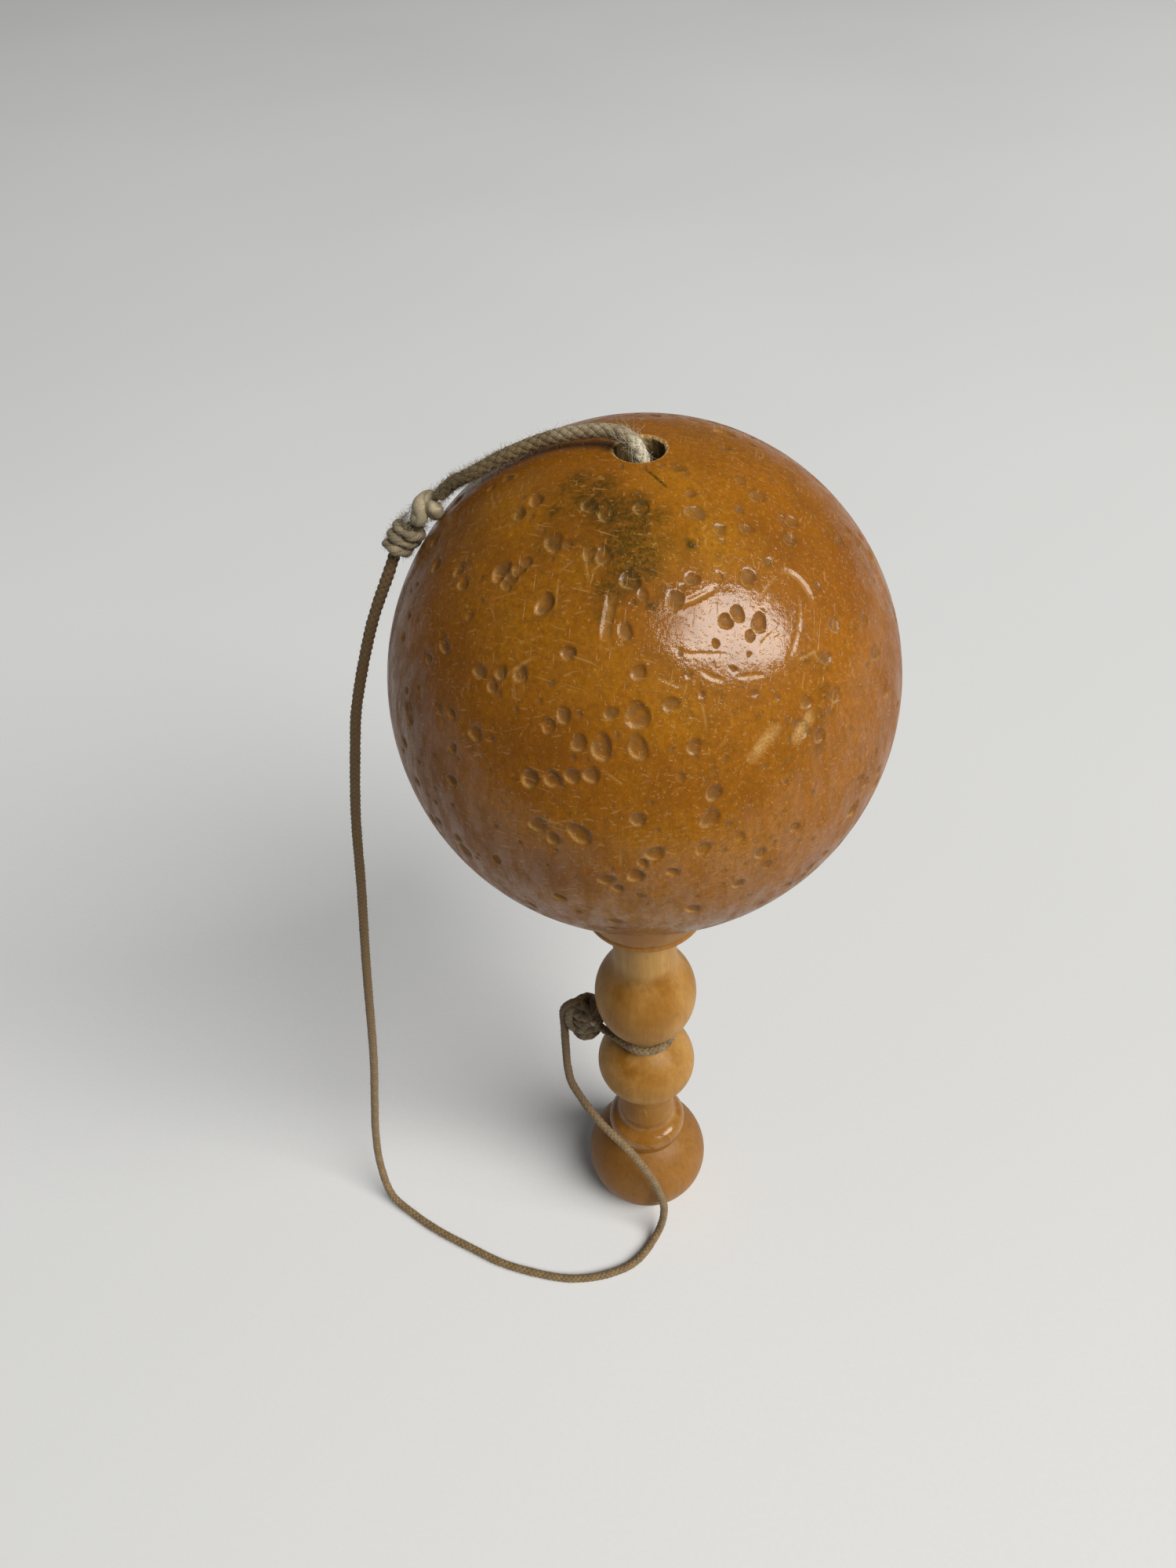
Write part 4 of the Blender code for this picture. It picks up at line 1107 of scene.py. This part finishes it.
def gouge_list():
    """Gouges and scratches: a line of points, half width, depth, bareness."""
    gouges = []
    for width, depth, bare, pixels in GOUGES:
        corners = np.array([on_ball(column, row)[0] for column, row in pixels])
        gouges.append((smooth_line(corners, spacing=0.0006), width, depth, bare))
    while len(gouges) < len(GOUGES) + UNSEEN_SCRATCHES:
        point, seen = random_skin_point()
        if seen > SCRATCH_VIEW:
            continue
        way = unit(np.cross(point - BALL_CENTRE, rng.normal(size=3)))
        bend = unit(np.cross(point - BALL_CENTRE, way))
        length = rng.uniform(0.0015, 0.0060)
        curve = rng.normal(0, 0.25)
        line = []
        for t in np.linspace(-1, 1, 9):
            off = point + way * length * t + bend * length * curve * t * t - BALL_CENTRE
            line.append(BALL_CENTRE + off / np.linalg.norm(off / BALL_SIZE))
        gouges.append((np.array(line), rng.uniform(0.00022, 0.00040), rng.uniform(0.00006, 0.00014),
                       rng.uniform(0.2, 0.8)))
    return gouges


def press_dents(surface, marks):
    """Sink the dents into the skin, and mark their hollows, dirty rims, and a painted highlight: a pale band
    on one side of each rim.
    """
    for centre, radius, deep in dent_list():
        box = np.abs(surface - centre).max(axis=1) < 1.9 * radius
        offset = surface[box] - centre
        outward = ball_normals(centre[None])[0]
        highlight_side = unit(PAINTED_HIGHLIGHT_WAY - outward * (outward @ PAINTED_HIGHLIGHT_WAY))
        long_axis = unit(np.cross(centre - BALL_CENTRE, rng.normal(size=3)))
        short_axis = unit(np.cross(centre - BALL_CENTRE, long_axis))
        offset = offset - np.outer(offset @ long_axis, long_axis) * rng.uniform(0.0, 0.25)
        around = np.arctan2(offset @ short_axis, offset @ long_axis)
        away = np.linalg.norm(offset, axis=1)
        share = away / radius
        for lobes, strength in ((2, 0.07), (3, 0.06)):
            share = share * (1 + strength * np.cos(lobes * around + random_phase()))
        bowl = np.clip(1 - share ** 3, 0, 1)
        rim = bell(share, 1.10, 0.14)
        edge = bell(share, 1.0, max(0.10, 0.00016 / radius)) * min(radius / 0.0008, 1.0)
        # Painted highlight: a pale band inside the rim, on one side of the dent only
        rubbed_and_painted_highlight = 0.70 * bell(share, 0.86, 0.15) * smooth_step(0.15, 0.95, offset @ highlight_side / (away + 1e-9))
        rubbed_and_painted_highlight = rubbed_and_painted_highlight * smooth_step(0.0005, 0.0010, radius)
        marks["depth"][box] = np.maximum(marks["depth"][box] - 0.08 * deep * rim, deep * bowl)
        marks["dent"][box] = np.maximum(marks["dent"][box], np.clip(1.1 - share, 0, 1))
        marks["dirt"][box] = np.maximum(marks["dirt"][box] * (share > 0.8), edge)
        marks["worn"][box] = np.maximum(marks["worn"][box] * (share > 0.7), rubbed_and_painted_highlight)


def cut_gouges(surface, marks):
    """Cut the gouges and scratches into the skin, and mark the wood that they bare or blacken."""
    for line, width, deep, bare in gouge_list():
        box = np.abs(surface - line.mean(axis=0)).max(axis=1) < np.ptp(line, axis=0).max() + 3 * width
        near = surface[box]
        share = near_line(near, line) / width
        to_start = np.linalg.norm(near - line[0], axis=1)
        to_end = np.minimum(to_start, np.linalg.norm(near - line[-1], axis=1))
        taper = smooth_step(0, 0.4 * np.linalg.norm(line[-1] - line[0]), to_end + 0.6 * width)
        groove = np.clip(1 - share ** 2, 0, 1) * taper
        rim = bell(share, 1.2, 0.25) * taper
        marks["depth"][box] += deep * (groove - 0.10 * rim)
        marks["worn"][box] = np.maximum(marks["worn"][box], bare * np.clip(1.2 - share, 0, 1) * taper)
        if bare == 0.0:
            marks["stain"][box] = np.maximum(marks["stain"][box], np.clip(1.5 - share, 0, 1))


def wear_edges(surface, marks):
    """Wear back the uneven edges of the holes, and mark the raw wood there."""
    from_axis = np.hypot(surface[:, 0], surface[:, 1])
    turn = np.arctan2(surface[:, 1], surface[:, 0])
    ragged = sum(np.cos(k * turn + random_phase()) / k for k in (2, 3, 5, 7, 11))
    upper = surface[:, 2] > BALL_MIDDLE
    edge = np.clip(1 - (from_axis - CORD_HOLE_RADIUS) / (0.0004 + 0.00012 * ragged), 0, 1) * upper
    lower_edge = np.clip(1 - (from_axis - BORE_RADIUS) / 0.0009, 0, 1) * ~upper
    marks["depth"] += 0.00025 * edge ** 2 + 0.00040 * lower_edge ** 2
    marks["worn"] = np.maximum(marks["worn"], np.maximum(edge ** 0.8, lower_edge))
    marks["raw"] = np.clip(edge * 1.2 + lower_edge, 0, 1)


def tear_walls(walls):
    """Walls of the holes, made uneven by torn fibres, and the painted shade on them.
    In the cord hole the cord's shadow is painted on the left wall, and shade on the right wall and deeper
    down."""
    spin = np.arctan2(walls[:, 1], walls[:, 0])
    rough = np.zeros(len(walls))
    for waves, slant in ((9, -90), (17, 90), (23, 90), (41, 90)):
        rough += np.cos(waves * spin + slant * walls[:, 2] + random_phase())
    sunk = BALL_MIDDLE + ball_height(CORD_HOLE_RADIUS) - walls[:, 2]
    # Painted shade: the cord's shadow on the left wall, and shade on the right wall and deep in the hole
    left_wall_shadow = smooth_step(-0.10, 0.55, -np.cos(spin))
    right_wall_shade = 0.85 * smooth_step(0.35, 0.85, np.cos(spin))
    deep_wall_shade = 0.85 * smooth_step(0.0010, 0.0036, sunk)
    in_cord_hole = walls[:, 2] > BORE_END + 0.002
    painted_light_and_dent_grime = np.maximum(left_wall_shadow, np.maximum(right_wall_shade, deep_wall_shade)) * in_cord_hole
    torn = walls.copy()
    torn[:, :2] *= (1 + 0.006 * rough)[:, None]
    return torn, painted_light_and_dent_grime


def build_ball():
    rings, counts, skin_rings = ball_rings()
    points = ball_points(rings, counts)
    skin = np.repeat(skin_rings, counts)
    surface = points[skin]
    marks = {key: np.zeros(len(surface)) for key in ("depth", "dent", "dirt", "worn", "stain")}
    press_dents(surface, marks)
    cut_gouges(surface, marks)
    marks["stain"] = np.maximum(marks["stain"], spots_on(surface, STAIN, fall=0.9))
    marks["gold"] = spots_on(surface, GOLD, fall=0.7)
    marks["dull"] = spots_on(surface, DULL, fall=1.0)
    marks["gloss"] = spots_on(surface, GLOSS, fall=0.9)
    wear_edges(surface, marks)
    points[skin] = surface - ball_normals(surface) * marks.pop("depth")[:, None]
    points[~skin], painted_light_and_dent_grime = tear_walls(points[~skin])

    values = {key: np.zeros(len(points)) for key in (*marks, "painted_hole_shade")}
    for key, value in marks.items():
        values[key][skin] = value
    values["raw"][~skin] = 1.0
    values["painted_hole_shade"][~skin] = painted_light_and_dent_grime
    ball = add_piece("ball_skin", points, ring_faces(counts, closed=True), ball_wood(), values)
    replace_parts(ball, "ball")
    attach(ball, "ball")


# Handle
def build_foot():
    widest = (FOOT_RADIUS, FOOT_MIDDLE)
    socket_radius = TENON_RADIUS + FIT_GAP
    socket_bottom = FOOT_HEIGHT - TENON_LENGTH
    outline = [(AXIS_GAP, socket_bottom), (socket_radius, socket_bottom), (socket_radius, FOOT_HEIGHT - EASE)]
    outline += [(FOOT_TOP_RADIUS - 3 * EASE, FOOT_HEIGHT - FLOOR_GAP)]
    outline += oval(widest, (FOOT_TOP_RADIUS, FOOT_HEIGHT - EASE / 2), 30)[::-1]
    outline += oval(widest, (FOOT_FLAT_RADIUS, EASE), 30)[1:]
    outline += [(FOOT_FLAT_RADIUS - EASE, 2 * FLOOR_GAP)]
    outline += [(radius, FLOOR_GAP) for radius in (0.0060, 0.0030, AXIS_GAP)]
    material = turned_wood("foot_wood", (0.250, 0.114, 0.024), (0.330, 0.164, 0.046), (0.290, 0.122, 0.018),
                           coat=0.22)
    amber = ((0.0150, 0.0090, 0.8),)
    piece = turned_piece("foot_turning", outline, 128, material, knocks=50, amber=amber)
    return piece, "foot", "brown_wood"


def build_grip():
    upper_widest = (UPPER_BEAD_RADIUS, UPPER_BEAD_MIDDLE)
    lower_widest = (LOWER_BEAD_RADIUS, LOWER_BEAD_MIDDLE)
    collar_widest = (COLLAR_RADIUS, COLLAR_MIDDLE)
    socket_radius = PIN_RADIUS + FIT_GAP
    socket_bottom = GRIP_TOP - PIN_LENGTH - FIT_GAP
    tenon_end = GRIP_BASE - TENON_LENGTH
    shoulder = oval(upper_widest, (UPPER_SHOULDER_RADIUS, UPPER_BEAD_TOP), 18)
    hollow = cove(shoulder, (UPPER_NECK_RADIUS, COVE_TOP), 16)
    collar = oval(collar_widest, (COLLAR_SHOULDER_RADIUS, COLLAR_SHOULDER), 16)
    collar_hollow = cove(collar, (LOWER_NECK_RADIUS, COLLAR_TOP), 14)
    upper_neck = np.linspace(GRIP_TOP - 5 * EASE, COVE_TOP + 5 * EASE, 12)
    lower_neck = np.linspace(LOWER_BEAD_BOTTOM - 2 * EASE, COLLAR_TOP + 2 * EASE, 12)
    outline = [(AXIS_GAP, socket_bottom), (socket_radius, socket_bottom), (socket_radius, GRIP_TOP)]
    outline += [(UPPER_NECK_RADIUS - EASE, GRIP_TOP), (UPPER_NECK_RADIUS, GRIP_TOP - EASE)]
    outline += [(UPPER_NECK_RADIUS, z) for z in upper_neck]
    outline += hollow[::-1] + shoulder[::-1]
    outline += oval(upper_widest, (GROOVE_RADIUS, GROOVE_TOP), 28)[1:]
    outline += oval(lower_widest, (GROOVE_RADIUS, GROOVE_BOTTOM), 26)[::-1]
    outline += oval(lower_widest, (LOWER_NECK_RADIUS, LOWER_BEAD_BOTTOM), 24)[1:]
    outline += [(LOWER_NECK_RADIUS, z) for z in lower_neck]
    outline += collar_hollow[::-1] + collar[::-1]
    outline += oval(collar_widest, (COLLAR_BASE_RADIUS, GRIP_BASE), 14)[1:]
    outline += [(TENON_RADIUS + EASE / 2, GRIP_BASE), (TENON_RADIUS, GRIP_BASE - EASE)]
    outline += [(TENON_RADIUS, tenon_end + TENON_EASE), (TENON_RADIUS - TENON_EASE, tenon_end)]
    outline += [(AXIS_GAP, tenon_end)]
    material = turned_wood("grip_wood", (0.340, 0.165, 0.034), (0.500, 0.285, 0.086), (0.250, 0.095, 0.004),
                           coat=0.10, coat_roughness=0.12, polished=True)
    amber = (
        (0.0275, 0.0080, 1.0), (0.0395, 0.0065, 0.9, -0.6, 0.9), (0.0395, 0.0065, 0.6, 0.8, 0.9),
        (0.0598, 0.0028, 0.9, -0.5, 0.6), (0.0588, 0.0034, 0.5, 0.3, 1.0), (0.0605, 0.0016, 0.7, 0.9, 0.25),
        (0.0885, 0.0036, 1.0, -0.42, 0.55), (0.0892, 0.0030, 0.9, 0.55, 0.45),
        (0.0850, 0.0040, 0.6, 0.1, 0.8), (0.0840, 0.0060, 0.25), (0.0395, 0.0065, 0.5),
        (0.0815, 0.0055, 0.60, 0.0, 0.8), (0.0560, 0.0042, 0.50, -0.4, 0.7),
        (0.0872, 0.0045, 0.85, 0.05, 0.40), (0.0590, 0.0036, 0.65, 0.0, 0.6),
    )
    polish = ((0.0278, 0.0056, 0.9),)
    piece = turned_piece("grip_turning", outline, 160, material, knocks=60, amber=amber, polish=polish)
    return piece, "grip", "honey_wood"


def under_ball(radius):
    """Height just under the ball, at a distance from the axis."""
    return BALL_MIDDLE - ball_height(radius) - FIT_GAP


def build_cup():
    hole = PIN_RADIUS + FIT_GAP
    lip_top = CUP_BASE + CUP_LIP_HEIGHT
    rim_edge = CUP_RIM_RADIUS - CUP_EASE
    rim_top = under_ball(CUP_RIM_RADIUS)
    outline = [(rim_edge, rim_top), (CUP_RIM_RADIUS - CUP_EASE / 6, rim_top - 5 * CUP_EASE / 6)]
    for t in np.linspace(0, 1, 26)[1:]:
        outline.append((CUP_RIM_RADIUS + (CUP_LIP_RADIUS - CUP_RIM_RADIUS) * t,
                        rim_top + (lip_top + CUP_EASE - rim_top) * t ** CUP_FLARE))
    outline += [(CUP_LIP_RADIUS - CUP_EASE, lip_top), (CUP_LIP_RADIUS, lip_top - CUP_EASE)]
    outline += [(CUP_LIP_RADIUS, CUP_BASE + CUP_EASE), (CUP_LIP_RADIUS - CUP_EASE, CUP_BASE)]
    outline += [(hole, CUP_BASE), (hole, CUP_FLOOR)]
    outline += oval((CUP_MOUTH_RADIUS, CUP_MOUTH), (CUP_FLOOR_RADIUS, CUP_FLOOR), 24)[::-1]
    outline += [(radius, under_ball(radius)) for radius in np.linspace(CUP_MOUTH_RADIUS, rim_edge, 6)[1:-1]]
    material = turned_wood("cup_wood", (0.340, 0.150, 0.026), (0.450, 0.225, 0.050), (0.330, 0.125, 0.010),
                           coat=0.25)
    amber = ((0.1140, 0.0080, 0.7),)
    piece = turned_piece("cup_turning", outline, 144, material, knocks=30, amber=amber, closed=True)
    return piece, "cup", "cup_wood"


def build_spike():
    tip = SPIKE_TIP_RADIUS
    taper_top = SPIKE_TIP - tip
    pin_bottom = GRIP_TOP - PIN_LENGTH
    outline = []
    for angle in np.linspace(0.02, math.pi / 2, 9):
        outline.append((tip * math.sin(angle), taper_top + tip * math.cos(angle)))
    for t in np.linspace(0, 1, 40)[1:]:
        outline.append((tip + (SPIKE_BASE_RADIUS - tip) * t, taper_top + (SPIKE_BASE - taper_top) * t))
    outline += [(SPIKE_BASE_RADIUS - 0.75 * EASE, SPIKE_BASE), (PIN_RADIUS, SPIKE_BASE)]
    outline += [(PIN_RADIUS, pin_bottom), (AXIS_GAP, pin_bottom)]
    material = turned_wood("spike_wood", (0.300, 0.165, 0.058), (0.470, 0.285, 0.125), (0.260, 0.120, 0.030),
                           coat=0.08)
    amber = ((0.1250, 0.0140, 0.6),)
    piece = turned_piece("spike_turning", outline, 96, material, knocks=40, amber=amber)
    return piece, "spike", "spike_wood"


def build_handle():
    for build in (build_foot, build_grip, build_cup, build_spike):
        piece, node, slot = build()
        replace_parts(piece, node)
        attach(piece, "handle")


# Stage and light
def build_stage():
    corners = [(-FLOOR_SIDE, FLOOR_FRONT, 0), (FLOOR_SIDE, FLOOR_FRONT, 0),
               (FLOOR_SIDE, FLOOR_BACK, 0), (-FLOOR_SIDE, FLOOR_BACK, 0)]
    floor = add_piece("floor", corners, [(0, 1, 2, 3)], floor_paper())


def build_light():
    way = Vector(LIGHT_WAY).normalized()
    long_axis = Vector(LIGHT_LONG_WAY)
    long_axis = (long_axis - way * long_axis.dot(way)).normalized()
    short_axis = way.cross(long_axis)
    data = bpy.data.lights.new("window", "AREA")
    data.shape = "ELLIPSE"
    data.size = LIGHT_LENGTH
    data.size_y = LIGHT_WIDTH
    data.energy = LIGHT_POWER
    data.color = LIGHT_COLOUR
    light = bpy.data.objects.new("window", data)
    turn = Matrix((long_axis, short_axis, way)).transposed().to_4x4()
    light.matrix_world = Matrix.Translation(Vector(BALL_CENTRE) + way * LIGHT_DISTANCE) @ turn
    bpy.context.collection.objects.link(light)


def build_room():
    world = bpy.data.worlds.new("room")
    world.use_nodes = True
    background = world.node_tree.nodes["Background"]
    background.inputs["Color"].default_value = ROOM_COLOUR
    background.inputs["Strength"].default_value = ROOM_STRENGTH
    bpy.context.scene.world = world


place_camera()
build_cords()
build_ball()
build_handle()
build_stage()
build_light()
build_room()

bpy.context.view_layer.update()
